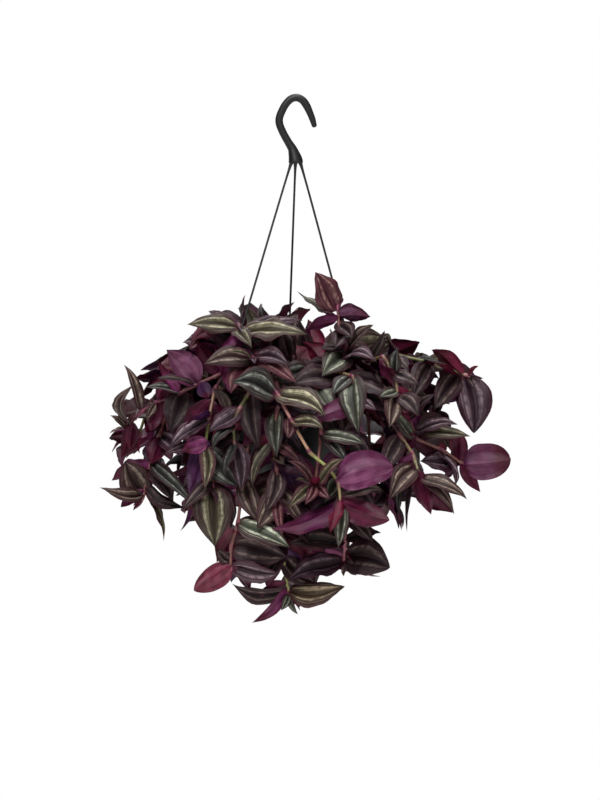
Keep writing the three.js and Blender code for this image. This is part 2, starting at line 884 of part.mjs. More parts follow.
// The first of a leaf's places in which it touches no other solid and its blade crosses none of
// its own stem's
function settle(leaf, owner, taken) {
  for (const tip of leaf.tries) {
    const placed = { ...leaf, tip };
    const blade = { ...placed, base: leaf.base.clone().lerp(tip, BLADE_START) };
    const probe = leafSolid(placed, LEAF_THICK + 2 * LEAF_CLEAR, LEAF_CLEAR);
    const ownProbe = leafSolid(blade, LEAF_THICK, 0);
    const box = probe.boundingBox();
    const hit = taken.some((other) => {
      if (!touches(box, other.box)) return false;
      return meets(other.owner === owner ? ownProbe : probe, other.solid);
    });
    if (!hit) return leafSolid(placed, LEAF_THICK, 0);
  }
  return null;
}

function touches(a, b) {
  return [0, 1, 2].every((k) => a.min[k] <= b.max[k] && b.min[k] <= a.max[k]);
}

function meets(a, b) {
  return a.intersect(b).volume() > 1e-6;
}

function foliage(stems, fixed) {
  const taken = fixed.map((solid) => ({ owner: "fixed", solid, box: solid.boundingBox() }));
  const grown = new Map();
  for (const stem of stems) {
    const solid = stemSolid(stem);
    grown.set(stem.name, [solid]);
    taken.push({ owner: stem.name, solid, box: solid.boundingBox() });
  }
  for (const stem of stems) {
    for (const leaf of stem.leaves) {
      const solid = settle(leaf, stem.name, taken);
      if (!solid) continue;
      grown.get(stem.name).push(solid);
      taken.push({ owner: stem.name, solid, box: solid.boundingBox() });
    }
  }
  return grown;
}

// The whole plant

const stems = [
  ...Object.entries(PLACED_STEMS).map(([name, stem]) => placedStem(name, stem)),
  ...RULED_STEMS.map(([habit, turn], i) => ruledStem(habit, turn, i + 1)),
];
const potSolid = pot();
const soilSolid = soil(stems.map((stem) => stem.foot));
const hangerSolid = hanger();

const plant = new THREE.Group();
plant.add(meshOf("pot", potSolid, PLASTIC));
plant.add(meshOf("soil", soilSolid, SOIL));
plant.add(meshOf("hanger", hangerSolid, HOOK_PLASTIC));
for (const [name, pieces] of foliage(stems, [potSolid, soilSolid, hangerSolid])) {
  plant.add(meshOf(name, pieces.reduce((whole, piece) => whole.add(piece)), FOLIAGE));
}

export default plant;
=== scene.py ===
# The looks of a hanging pot of purple striped tradescantia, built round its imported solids.
# Lengths are millimetres in the part's frame: +Z up, front towards -Y, the origin at the inside
# top of the hook. They become metres when a mesh is made.
# The stems and leaves follow the same placing and the same seeded rule as the solids. Each is
# then made finer, and young leaves, end buds and inner leaves are added.

import math
import random

import bmesh
import bpy
import numpy as np
from mathutils import Matrix, Vector, bvhtree, kdtree


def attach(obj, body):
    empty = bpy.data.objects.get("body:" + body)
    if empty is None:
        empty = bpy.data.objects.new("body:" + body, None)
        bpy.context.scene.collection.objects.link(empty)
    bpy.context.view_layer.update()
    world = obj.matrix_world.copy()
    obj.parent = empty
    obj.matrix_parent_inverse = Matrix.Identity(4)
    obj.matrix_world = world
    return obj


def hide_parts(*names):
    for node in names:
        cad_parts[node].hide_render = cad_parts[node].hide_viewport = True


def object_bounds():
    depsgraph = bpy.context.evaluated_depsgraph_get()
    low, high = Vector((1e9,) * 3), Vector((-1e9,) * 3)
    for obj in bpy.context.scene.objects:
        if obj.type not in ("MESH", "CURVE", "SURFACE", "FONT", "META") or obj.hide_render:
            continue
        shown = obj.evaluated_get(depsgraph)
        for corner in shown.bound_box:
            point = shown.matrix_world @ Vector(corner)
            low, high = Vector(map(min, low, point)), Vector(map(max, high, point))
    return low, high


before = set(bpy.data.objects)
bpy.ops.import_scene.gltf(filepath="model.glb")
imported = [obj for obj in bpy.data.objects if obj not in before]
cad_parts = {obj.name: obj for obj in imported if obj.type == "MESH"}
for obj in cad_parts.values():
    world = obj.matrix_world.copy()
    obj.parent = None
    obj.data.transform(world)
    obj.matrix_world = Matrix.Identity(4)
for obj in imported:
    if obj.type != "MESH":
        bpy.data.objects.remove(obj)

CAD_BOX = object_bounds()
MM = 0.001

# Driving dimensions shared with the solids
POT_X = -6
RIM_Z = -286
POT_HEIGHT = 105
WALL = 2
RIM_RADIUS = 73
BODY_TOP_RADIUS = 66.5
BODY_FOOT_RADIUS = 48.5
BAND_HEIGHT = 14
FLANGE_THICK = 2.5
LUG_CIRCLE = 77.7
STRAP_TURNS = (92.8, 212.8, 332.8)
STRAP_RADIUS = 1.1
HUB_X = -1.3
SOIL_Z = RIM_Z - 14
FOOT_DEPTH = 12
FOOT_RISE = 4
BASE_BACK = 2
BASE_STEP = 3
LEAF_THICK = 0.72
LEAF_BOW = 0.1
LEAF_FOLD = 0.2
WIDEST_AT = 0.31
SHOULDER_AT = 0.7
SHOULDER_WIDTH = 0.76
KEEL_AT = 0.5
SEED = 41

# The ways a leaf's upper face can look, one letter each, added together
WAYS = {
    "L": (-1, 0, 0), "R": (1, 0, 0), "F": (0, -1, 0), "B": (0, 1, 0), "U": (0, 0, 1), "D": (0, 0, -1),
}

# The tones of a leaf's upper face, one letter each: its middle, silver band and margin
TOP_TONES = {
    "g": ("2e3528", "c6cab4", "241415"),  # grey green
    "o": ("352f1f", "c6bf9f", "2a1416"),  # olive
    "b": ("311d1d", "bba897", "2d1217"),  # brown
    "p": ("25121f", "af979f", "300e22"),  # purple
    "d": ("180c12", "87736d", "230b17"),  # dark
    "n": ("131918", "b0b5aa", "1d1011"),  # night green
    "r": ("430f22", "c1958d", "430b20"),  # red
    "t": ("37281c", "b6a486", "2c1617"),  # taupe
    "y": ("3b3522", "bcb693", "441727"),  # young
    "x": ("41071c", "7f3645", "4d0720"),  # blood red
}
# The tones of the underside: the field and its paler bands
UNDER_TONES = {
    "m": ("5c193f", "73335d"),  # magenta
    "M": ("6b2552", "874b71"),  # bright magenta
    "v": ("351438", "4e274f"),  # violet
    "w": ("400822", "561733"),  # wine
    "c": ("590927", "701b3a"),  # crimson
    "q": ("471033", "5d2449"),  # plum
    "u": ("5a2b46", "7a4e68"),  # mauve
    "s": ("611f33", "7b3c4f"),  # rose
}

# The placed stems: foot (x, y), then each joint as its point and its leaves. A leaf is its tip
# x, y, z, its width, the way its upper face looks, the tone of the side that shows, and its bow
# where it isn't the usual one.
PLACED_STEMS = {
    "stem_top_right": ((18, -34), [
        ((40, -46, -274), []),
        ((50, -58, -247), [
            (77, -74, -226, 18, "FU", "b"), (24, -80, -251, 17, "UF", "d"),
            (25, -94, -278, 27, "FFU", "g"), (80, -88, -264, 20, "UF", "p", 0.24),
        ]),
        ((42, -54, -229), [(38, -82, -250, 18, "FU", "d")]),
        ((41, -48, -209), [
            (18, -56, -173, 30, "FR", "r", 0.06), (74, -62, -218, 20, "UB", "u"),
            (0, -54, -192, 17, "U", "g"), (8, -72, -232, 18, "BU", "m"), (55, -76, -240, 18, "FU", "d"),
        ]),
    ]),
    "stem_upper_right": ((34, -22), [
        ((58, -40, -268), []), ((74, -66, -262), [(88, -74, -232, 17, "FR", "d")]),
        ((86, -86, -258), [(98, -100, -287, 17, "BL", "w")]),
        ((98, -94, -277), [
            (101, -102, -249, 15, "LF", "n"), (122, -100, -287, 17, "UF", "d"),
            (88, -106, -268, 18, "FU", "b"),
        ]),
        ((101, -104, -298), [
            (121, -118, -318, 18, "FU", "d"), (92, -116, -330, 19, "F", "b"),
            (82, -116, -299, 14, "FU", "g"),
        ]),
    ]),
    "stem_front_right": ((10, -44), [
        ((32, -68, -272), []),
        ((56, -92, -278), [(62, -112, -336, 27, "FL", "g"), (36, -112, -296, 16, "UF", "n")]),
        ((62, -114, -303), [(16, -136, -319, 19, "B", "m"), (79, -130, -312, 14, "FU", "p")]),
    ]),
    "stem_long_front": ((-30, -30), [
        ((-48, -48, -262), []),
        ((-59, -66, -226), [
            (-110, -76, -226, 22, "FU", "o"), (-89, -60, -212, 18, "FU", "p"),
            (10, -92, -236, 26, "FU", "o"), (6, -68, -222, 21, "FU", "p", 0.22),
        ]),
        ((-43, -92, -261), [
            (-93, -104, -266, 23, "FU", "b"), (-7, -110, -268, 19, "FU", "p"),
            (0, -112, -285, 18, "FFU", "r"),
        ]),
        ((-19, -112, -296), [(-65, -126, -284, 28, "FFU", "n"), (28, -136, -318, 27, "FU", "o")]),
        ((-5, -126, -323), [(27, -144, -331, 17, "FU", "o"), (-9, -140, -340, 13, "F", "r")]),
        ((13, -134, -354), []), ((31, -138, -369), []),
        ((41, -140, -383), [(103, -152, -366, 36, "B", "M", 0.05)]),
        ((44, -136, -409), [
            (-25, -144, -430, 22, "BD", "q"), (92, -146, -421, 24, "B", "w"),
            (33, -144, -433, 14, "BR", "c"), (41, -130, -448, 15, "F", "g"),
            (87, -124, -394, 15, "UF", "b"),
        ]),
    ]),
    "stem_front_inner": ((6, -42), [
        ((13, -74, -268), []), ((22, -108, -306), []),
        ((24, -118, -336), [(68, -132, -346, 20, "FU", "g"), (50, -130, -366, 15, "FU", "n")]),
        ((21, -124, -362), []),
        ((18, -126, -386), [(29, -138, -401, 10, "FU", "y"), (50, -128, -371, 15, "UF", "d")]),
    ]),
    "stem_centre_left": ((-18, -42), [
        ((-32, -78, -274), []), ((-48, -100, -294), [(-38, -116, -350, 21, "F", "d")]),
        ((-58, -108, -311), [(-88, -112, -334, 22, "FU", "p")]),
        ((-64, -108, -326), [(-84, -120, -352, 16, "FL", "n")]),
        ((-62, -108, -346), [(-56, -116, -392, 19, "F", "p"), (-72, -120, -378, 14, "FL", "n")]),
    ]),
    "stem_centre": ((-6, -36), [
        ((-10, -72, -278), []), ((-20, -100, -312), [(-20, -120, -359, 18, "F", "g")]),
        ((-24, -108, -345), [(3, -124, -366, 17, "FR", "r"), (-44, -118, -390, 16, "FL", "o")]),
        ((-20, -110, -372), [(-32, -122, -414, 18, "F", "d")]),
        ((-18, -110, -392), [(-40, -118, -430, 23, "F", "b"), (6, -120, -427, 21, "FR", "b")]),
    ]),
    "stem_left_front": ((-34, -18), [
        ((-66, -54, -270), []), ((-82, -80, -290), [(-70, -100, -318, 18, "FR", "b")]),
        ((-88, -94, -320), [(-127, -106, -350, 19, "FU", "p"), (-112, -108, -329, 15, "BU", "v")]),
        ((-92, -100, -352), [
            (-57, -116, -389, 26, "F", "n"), (-92, -116, -391, 15, "F", "y"),
            (-132, -108, -356, 13, "UF", "p"), (-108, -108, -396, 19, "B", "v"),
        ]),
        ((-84, -104, -388), [
            (-82, -112, -448, 36, "F", "o", 0.14), (-66, -106, -430, 22, "FR", "d"),
            (-114, -110, -412, 16, "FU", "d", 0.16),
        ]),
    ]),
    "stem_left_high": ((-42, -6), [
        ((-60, -22, -264), []),
        ((-78, -48, -276), [(-100, -62, -243, 17, "B", "w"), (-84, -70, -250, 15, "FU", "r")]),
        ((-101, -56, -286), [(-131, -64, -251, 26, "B", "u"), (-88, -76, -299, 14, "B", "v")]),
        ((-120, -54, -296), [
            (-139, -58, -262, 15, "BL", "m"), (-152, -62, -289, 13, "UF", "n"),
            (-127, -68, -334, 28, "F", "d"),
        ]),
        ((-142, -48, -304), [(-147, -60, -333, 17, "B", "w"), (-132, -52, -276, 14, "B", "w")]),
        ((-157, -44, -314), [(-174, -50, -266, 15, "RF", "b", 0.12)]),
        ((-171, -38, -329), [
            (-162, -52, -285, 17, "LF", "b", 0.34), (-168, -44, -352, 14, "BL", "w"),
            (-177, -40, -360, 16, "B", "w"),
        ]),
    ]),
    "stem_left_low": ((-46, 8), [
        ((-68, 4, -268), []), ((-100, -8, -282), [(-112, -34, -262, 20, "UF", "d")]),
        ((-128, -24, -308), [(-152, -40, -334, 19, "B", "w")]),
        ((-140, -32, -340), [(-147, -48, -366, 18, "B", "w"), (-114, -54, -358, 20, "F", "p")]),
        ((-148, -36, -368), [(-124, -54, -404, 21, "F", "d"), (-102, -62, -410, 15, "FU", "n", 0.16)]),
        ((-155, -40, -400), [
            (-173, -50, -363, 32, "F", "b", 0.06), (-198, -50, -389, 17, "FU", "b"),
            (-177, -50, -409, 10, "B", "m"), (-134, -44, -444, 15, "R", "o"),
            (-112, -58, -410, 17, "FU", "d", 0.16),
        ]),
    ]),
    "stem_right_high": ((36, 4), [
        ((60, 2, -260), []), ((98, -12, -256), [(112, -42, -272, 20, "FU", "d")]),
        ((136, -20, -264), [(116, -52, -300, 22, "F", "d")]),
        ((172, -24, -277), [
            (178, -42, -335, 33, "F", "p"), (135, -44, -251, 17, "BU", "c"),
            (122, -48, -260, 22, "UF", "n"), (138, -46, -311, 23, "F", "d"),
        ]),
    ]),
    "stem_right_mid": ((40, -12), [
        ((66, -30, -272), []), ((94, -50, -294), [(100, -78, -262, 17, "UF", "d")]),
        ((112, -62, -320), [(138, -76, -296, 18, "FU", "d")]),
        ((120, -70, -340), [
            (81, -92, -312, 22, "FU", "g"), (107, -90, -354, 12, "BL", "w"),
            (161, -86, -326, 18, "FU", "p"), (174, -78, -338, 19, "FU", "o"),
        ]),
        ((146, -64, -352), [(158, -78, -388, 18, "FR", "p")]),
        ((169, -58, -367), [
            (216, -66, -361, 33, "B", "M"), (184, -62, -394, 12, "B", "w"),
            (161, -66, -330, 15, "B", "w"), (123, -84, -363, 26, "FU", "p"),
        ]),
    ]),
    "stem_right_low": ((30, -30), [
        ((50, -62, -266), []), ((84, -80, -308), []),
        ((104, -88, -338), [(84, -106, -375, 20, "F", "d")]), ((116, -90, -356), []),
        ((123, -90, -380), [
            (170, -98, -401, 18, "FU", "b"), (157, -94, -416, 14, "FR", "b"),
            (134, -100, -416, 16, "B", "w"), (103, -102, -416, 15, "FL", "n"),
            (91, -106, -402, 22, "F", "b"), (110, -92, -434, 12, "U", "d"),
        ]),
    ]),
    "stem_bottom_right": ((18, -20), [
        ((30, -54, -262), []), ((44, -88, -300), []),
        ((48, -98, -336), [(64, -114, -362, 19, "FR", "d")]),
        ((50, -96, -372), [(85, -112, -396, 20, "FU", "d")]),
        ((50, -92, -410), [(76, -106, -443, 20, "F", "d"), (22, -106, -428, 19, "F", "g")]),
        ((48, -88, -444), [(-10, -106, -447, 23, "FU", "d"), (84, -98, -434, 18, "FU", "d")]),
        ((47, -84, -462), [
            (-9, -98, -482, 27, "FU", "p"), (93, -96, -469, 37, "F", "d"), (84, -92, -478, 15, "D", "c"),
        ]),
    ]),
    "stem_bottom_left": ((-26, -14), [
        ((-40, -56, -260), []), ((-54, -88, -300), []), ((-48, -94, -338), []),
        ((-54, -98, -382), [(-38, -110, -424, 20, "F", "b")]),
        ((-59, -102, -424), [(-7, -118, -449, 30, "FU", "g"), (-84, -108, -440, 16, "B", "v")]),
        ((-66, -100, -448), [(-10, -112, -458, 33, "F", "d")]),
        ((-66, -96, -472), [
            (-17, -106, -474, 26, "FD", "p"), (-103, -102, -492, 22, "B", "s"),
            (-80, -104, -450, 12, "F", "d"),
        ]),
    ]),
    "stem_bottom_mid": ((-10, -18), [
        ((-4, -50, -258), []), ((-6, -86, -290), []),
        ((-10, -96, -330), [(4, -106, -352, 15, "FR", "p")]), ((-14, -92, -376), []),
        ((-16, -88, -420), [(12, -104, -446, 20, "FR", "d"), (-46, -100, -446, 18, "FL", "d")]),
        ((-14, -84, -460), [(20, -94, -487, 20, "F", "d")]),
        ((-8, -80, -496), [
            (-65, -88, -485, 18, "FD", "d"), (48, -92, -488, 22, "FU", "t"),
            (-45, -92, -524, 16, "B", "m"),
        ]),
    ]),
}

# What some placed leaves have of their own, by stem, then by joint and leaf. Of the colours: how
# light it is, partly its own tone and partly painted light that lifts leaves the others shadow, how
# strong its silver bands are and how far it is flushed red (aged). Of the form: factors on its
# length (short) and width (wider), its twist in degrees, how blunt its end is, its fold and wave as
# shares of half its width, and its sway and arch as shares of its length.
OWN_LOOKS = {
    "stem_top_right": {
        (3, 0): {"light": 0.9, "fold": 0.16, "twist": 0, "sway": 0, "wider": 1.06},
        (3, 1): {"twist": 10},
        (3, 2): {"arch": -0.02, "twist": 24, "wider": 1.1},
    },
    "stem_long_front": {
        (1, 0): {"wave": 0.16, "fold": 0.2, "twist": 14, "arch": 0.12},
        (1, 2): {"wave": 0.24, "fold": 0.2, "wider": 1.15, "twist": 4, "arch": 0.14},
        (1, 3): {"arch": 0.06},
        (2, 0): {"twist": 16, "fold": 0.2, "strong": 1},
        (2, 1): {"twist": -12},
        (3, 0): {"light": 0.9, "strong": 1, "sway": 0.06, "twist": 10, "wider": 1.1, "arch": 0.2},
        (3, 1): {"twist": 0, "strong": 1, "arch": 0.13, "wider": 1.08},
        (7, 0): {
            "blunt": 1, "fold": 0.12, "short": 0.88, "sway": 0.07, "wider": 0.92, "light": 0.76,
            "aged": 0.1,
        },
        (8, 0): {"wider": 1.2, "aged": 0.5},
        (8, 1): {"blunt": 0.4},
    },
    "stem_right_mid": {
        (3, 0): {"strong": 0.8},
        (5, 0): {"blunt": 0.9, "fold": 0.12, "short": 0.97, "sway": -0.03, "light": 0.52, "aged": 1},
    },
    "stem_right_low": {(4, 0): {"arch": 0.18}},
    "stem_front_right": {
        (1, 0): {"twist": 32, "sway": -0.1, "light": 0.7},
        (2, 0): {"blunt": 0.3, "light": 0.62},
    },
    "stem_left_front": {(4, 0): {"light": 0.74, "strong": 0.9}},
    "stem_right_high": {(3, 0): {"blunt": 0.25, "light": 0.84, "twist": 0, "fold": 0.25}},
    "stem_left_low": {
        (5, 0): {"light": 0.88, "strong": 0.75},
        (5, 1): {"sway": -0.2, "arch": 0.06},
        (5, 3): {"twist": -28},
        (5, 4): {"sway": 0.22, "arch": 0.06},
    },
    "stem_left_high": {(2, 0): {"aged": 0.2, "twist": -14}, (3, 2): {"light": 0.68, "strong": 0.6}},
    "stem_bottom_mid": {
        (6, 0): {"sway": -0.17, "arch": 0.05},
        (6, 1): {"wider": 1.2, "blunt": 0.3, "twist": -20, "light": 1.15, "sway": 0.19, "arch": 0.04},
        (6, 2): {"wave": 0.24, "wider": 0.64, "sway": 0.1, "aged": 0.9},
    },
    "stem_bottom_left": {
        # Painted light: this leaf is made much lighter, for the shadow that the leaves round it cast on
        # it
        (4, 0): {"light": 1.9, "strong": 1, "fold": 0.18, "twist": 0},
        (5, 0): {"light": 1.0},
        (6, 1): {"blunt": 0.5, "fold": 0.4, "aged": 0.3},
    },
    "stem_bottom_right": {(6, 1): {"blunt": 0.3, "sway": -0.12}},
}

# The ruled stems: feet by distance from the pot's axis, the leaves at the end, and a line of
# joints by distance from the axis and height above the soil
HABITS = {
    "hang": (47, 3, [(62, 26), (89, 10), (98, -24), (98, -59), (92, -92)]),
    "trail": (47, 3, [(62, 26), (88, 12), (94, -22), (91, -57), (85, -92), (76, -126), (68, -158)]),
    "spread": (33, 3, [(52, 38), (88, 40), (122, 24), (146, -2), (158, -34)]),
    "crown": (20, 2, [(26, 28), (48, 44), (78, 36), (102, 16), (118, -8)]),
    "top": (12, 2, [(17, 34), (30, 62), (54, 70), (82, 58), (100, 36)]),
}
RULED_STEMS = [
    ("hang", 4), ("hang", 32), ("hang", 56), ("hang", 130), ("hang", 154), ("hang", 180),
    ("trail", 70), ("trail", 84), ("trail", 106),
    ("spread", 18), ("spread", 44), ("spread", 68), ("spread", 118), ("spread", 142), ("spread", 168),
    ("crown", -16), ("crown", 54), ("crown", 196),
    ("top", 110), ("top", 146), ("top", 182),
]
JOINT_JITTER = 5
RULED_LEAF = {
    "length": 52, "length_spread": 11, "slimness": 0.47,
    "lean": 0.9, "lean_spread": 0.3, "rise": 0.15, "rise_spread": 0.35,
    "outward": 0.45, "forward": 0.55, "forward_step": 0.25,
    "face_out": 0.8, "face_up": 0.75, "flipped": 0.16,
}
TIP_SHIFTS = (0, -7, 7, -14, 14, -22, 22, -30)
SWINGS = (
    (0, 1), (24, 1), (-24, 1), (48, 0.92), (-48, 0.92), (75, 0.85), (-75, 0.85),
    (110, 0.75), (-110, 0.75), (160, 0.65),
)

# Young leaves that show in front, each sprig as its stem, its point and its leaves
SPRIG_BOW = 0.12
SPRIG_FOLD = 0.5
SPRIGS = [
    ("stem_front_inner", (18, -134, -385), [
        (-2, -142, -381, 12, "FU", "y"), (-10, -138, -362, 11, "FR", "r"),
        (-8, -140, -408, 13, "F", "y"), (47, -154, -360, 17, "FU", "y"),
        (8, -146, -406, 11, "F", "r"), (19, -154, -378, 9, "FU", "c"), (33, -146, -400, 10, "F", "r"),
    ]),
    ("stem_long_front", (-58, -69, -229), [(-45, -101, -250, 17, "FU", "o")]),
    ("stem_long_front", (-44, -94, -260), [
        (-71, -116, -255, 11, "FU", "y"), (-42, -118, -266, 9, "F", "p"),
    ]),
    ("stem_left_low", (-155, -42, -400), [(-168, -50, -392, 7, "F", "m")]),
    ("stem_left_high", (-171, -40, -329), [
        (-188, -44, -317, 8, "FU", "b"), (-162, -48, -312, 6, "F", "r"),
    ]),
    ("stem_left_high", (-142, -50, -304), [(-152, -52, -322, 8, "F", "b")]),
    ("stem_left_high", (-101, -56, -286), [(-141, -90, -280, 15, "UF", "d")]),
    ("stem_right_high", (172, -26, -277), [
        (183, -34, -267, 6, "FU", "c"), (186, -24, -300, 10, "F", "d"),
    ]),
    ("stem_left_front", (-90, -102, -342), [(-115, -116, -352, 16, "B", "M")]),
    ("stem_bottom_mid", (-8, -82, -496), [
        (1, -90, -516, 9, "FL", "g"), (-16, -90, -512, 8, "F", "c"),
    ]),
    ("stem_centre", (-18, -112, -392), [(-14, -124, -438, 10, "F", "r")]),
]


# The same placing and the same rule as the solids


def vec(x, y, z):
    return np.array((x, y, z), dtype=float)


def unit(v):
    return v / np.linalg.norm(v)


def random_from(seed):
    """Pseudo-random numbers from 0 to 1, the same each run and the same as the solids'."""
    state = seed & 0xFFFFFFFF

    def draw():
        nonlocal state
        state = (state + 0x6D2B79F5) & 0xFFFFFFFF
        t = state
        t = ((t ^ (t >> 15)) * (t | 1)) & 0xFFFFFFFF
        t ^= (t + ((t ^ (t >> 7)) * (t | 61))) & 0xFFFFFFFF
        return ((t ^ (t >> 14)) & 0xFFFFFFFF) / 4294967296

    return draw


def around(radius, turn, z):
    """A point by its distance from the pot's axis, its turn about it and its height."""
    angle = math.radians(turn)
    return vec(POT_X + radius * math.cos(angle), radius * math.sin(angle), z)


def turned_about(v, axis, degrees):
    """A vector turned about a unit axis."""
    angle = math.radians(degrees)
    c, s = math.cos(angle), math.sin(angle)
    return v * c + np.cross(axis, v) * s + axis * (axis @ v) * (1 - c)


def look(letters):
    return unit(sum(vec(*WAYS[letter]) for letter in letters))


def leaf_base(joint, stem_way, n):
    return joint - stem_way * (BASE_BACK + BASE_STEP * n)


def placed_stem(name):
    foot, table = PLACED_STEMS[name]
    foot = vec(*foot, SOIL_Z)
    joints = [vec(*at) for at, _ in table]
    leaves = []
    for i, (_, blades) in enumerate(table):
        stem_way = unit(joints[i] - (joints[i - 1] if i else foot))
        for n, (x, y, z, width, way, tone, *bow) in enumerate(blades):
            leaves.append({
                "base": leaf_base(joints[i], stem_way, n),
                "tries": [vec(x, y + shift, z) for shift in TIP_SHIFTS],
                "face": look(way),
                "width": width,
                "bow": bow[0] if bow else LEAF_BOW,
                "tone": tone,
                "placed": True,
                **OWN_LOOKS.get(name, {}).get((i, n), {}),
            })
    return {"name": name, "foot": foot, "joints": joints, "leaves": leaves}


def ruled_stem(habit, turn, index):
    draw = random_from(SEED + index)
    rule = RULED_LEAF

    def spread(size):
        return size * (2 * draw() - 1)

    foot, end_leaves, line = HABITS[habit]
    foot = around(foot, turn, SOIL_Z)
    joints = []
    for i, (radius, height) in enumerate(line):
        loose = JOINT_JITTER * min(1, (i + 1) / 3)
        shift = [spread(loose) for _ in range(3)]
        joints.append(around(radius, turn, SOIL_Z + height) + vec(*shift))
    leaves = []
    up = vec(0, 0, 1)
    for i, joint in enumerate(joints):
        stem_way = unit(joint - (joints[i - 1] if i else foot))
        outward = unit(vec(joint[0] - POT_X, joint[1], 0))
        sideways = np.cross(outward, up)
        for n in range(end_leaves if joint is joints[-1] else 1):
            hand = 1 if (i + n) % 2 else -1
            length = rule["length"] + spread(rule["length_spread"])
            lean = rule["lean"] + spread(rule["lean_spread"])
            rise = rule["rise"] + spread(rule["rise_spread"])
            flip = -1 if draw() < rule["flipped"] else 1
            way = stem_way * (rule["forward"] + rule["forward_step"] * n)
            way = way + sideways * (0 if n == 2 else hand * lean)
            way = unit(way + outward * rule["outward"] + up * rise)
            base = leaf_base(joint, stem_way, n)
            swings = [turned_about(way, stem_way, swing) * scale for swing, scale in SWINGS]
            leaves.append({
                "base": base,
                "tries": [base + swung * length for swung in swings],
                "face": outward * rule["face_out"] * flip + up * rule["face_up"],
                "width": length * rule["slimness"],
                "bow": LEAF_BOW,
                "tone": None,
            })
    return {"name": f"stem_{habit}_{index}", "foot": foot, "joints": joints, "leaves": leaves}


def leaf_frame(base, tip, face):
    """A leaf's length and its own directions: along, across and up."""
    along = tip - base
    length = np.linalg.norm(along)
    along = along / length
    up = unit(face - along * (face @ along))
    return length, along, np.cross(along, up), up


def solid_corners(leaf, tip):
    """The fourteen corners of the leaf's solid."""
    length, along, side, up = leaf_frame(leaf["base"], tip, leaf["face"])
    half = leaf["width"] / 2
    shoulder = half * SHOULDER_WIDTH
    plan = (
        (0, 0, 0), (WIDEST_AT, -half, 0), (WIDEST_AT, half, 0), (KEEL_AT, 0, -LEAF_FOLD * half),
        (SHOULDER_AT, -shoulder, 0), (SHOULDER_AT, shoulder, 0), (1, 0, 0),
    )
    corners = []
    for at, across, lift in plan:
        rise = 4 * leaf["bow"] * length * at * (1 - at) + lift
        middle = leaf["base"] + along * length * at + side * across + up * rise
        corners += [middle + up * LEAF_THICK / 2, middle - up * LEAF_THICK / 2]
    return corners


MATCH_WITHIN = 0.06
FEWEST_MATCHES = 5


def settle(stem):
    """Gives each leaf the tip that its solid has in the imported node. A leaf with none is left out."""
    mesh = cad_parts[stem["name"]].data
    tree = kdtree.KDTree(len(mesh.vertices))
    for i, vertex in enumerate(mesh.vertices):
        tree.insert(vertex.co / MM, i)
    tree.balance()
    kept = []
    for leaf in stem["leaves"]:
        best = 0
        for tip in leaf["tries"]:
            found = sum(tree.find(corner)[2] < MATCH_WITHIN for corner in solid_corners(leaf, tip))
            if found > best:
                best = found
                leaf["tip"] = tip
        if best >= FEWEST_MATCHES:
            kept.append(leaf)
    stem["leaves"] = kept


# Meshes: each piece gathers closed bodies with their colours as point attributes

PAINTS = ("centre", "band", "margin", "field", "pale")
UNPAINTED = (0.1, 0.1, 0.1)
FOLIAGE_SHARP = 55
POT_SHARP = 35
# A direction that no stem runs along, to start the section of a tube
TUBE_SIDE = (0.31, 0.95, 0.05)


def linear(code):
    """A colour given as six hex digits, as linear light."""
    parts = [int(code[i:i + 2], 16) / 255 for i in (0, 2, 4)]
    return np.array([c / 12.92 if c <= 0.04045 else ((c + 0.055) / 1.055) ** 2.4 for c in parts])


def new_object(name, mesh):
    thing = bpy.data.objects.new(name, mesh)
    bpy.context.scene.collection.objects.link(thing)
    return thing


def finish_piece(piece, sharp, node):
    """Smooths a piece up to its sharp edges, and lets it stand for a solid."""
    piece.data.polygons.foreach_set("use_smooth", [True] * len(piece.data.polygons))
    piece.data.set_sharp_from_angle(angle=math.radians(sharp))
    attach(piece, "root")
    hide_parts(node)


class Body:
    """What one piece is made of, gathered part by part in millimetres."""

    def __init__(self, name, materials):
        self.name = name
        self.materials = materials
        self.points = []
        self.places = []
        self.paints = {paint: [] for paint in PAINTS}
        self.faces = []
        self.kinds = []
        self.count = 0

    def add(self, points, faces, kinds=0, places=None, paints=None):
        count = len(points)
        self.points.append(np.asarray(points, dtype=float))
        self.places.append(np.zeros((count, 3)) if places is None else places)
        for paint in PAINTS:
            colour = np.asarray((paints or {}).get(paint, UNPAINTED), dtype=float)
            self.paints[paint].append(np.broadcast_to(colour, (count, 3)))
        self.faces += [tuple(corner + self.count for corner in face) for face in faces]
        self.kinds += [kinds] * len(faces) if isinstance(kinds, int) else list(kinds)
        self.count += count

    def make(self, slot, node):
        mesh = bpy.data.meshes.new(self.name)
        mesh.from_pydata((np.concatenate(self.points) * MM).tolist(), [], self.faces)
        for material in self.materials:
            mesh.materials.append(material)
        mesh.polygons.foreach_set("material_index", self.kinds)
        place = mesh.attributes.new("place", "FLOAT_VECTOR", "POINT")
        place.data.foreach_set("vector", np.concatenate(self.places).ravel())
        for paint in PAINTS:
            rgb = np.concatenate(self.paints[paint])
            rgba = np.concatenate((rgb, np.ones((len(rgb), 1))), axis=1)
            mesh.attributes.new(paint, "FLOAT_COLOR", "POINT").data.foreach_set("color", rgba.ravel())
        mesh.update()
        finish_piece(new_object(self.name, mesh), FOLIAGE_SHARP, node)


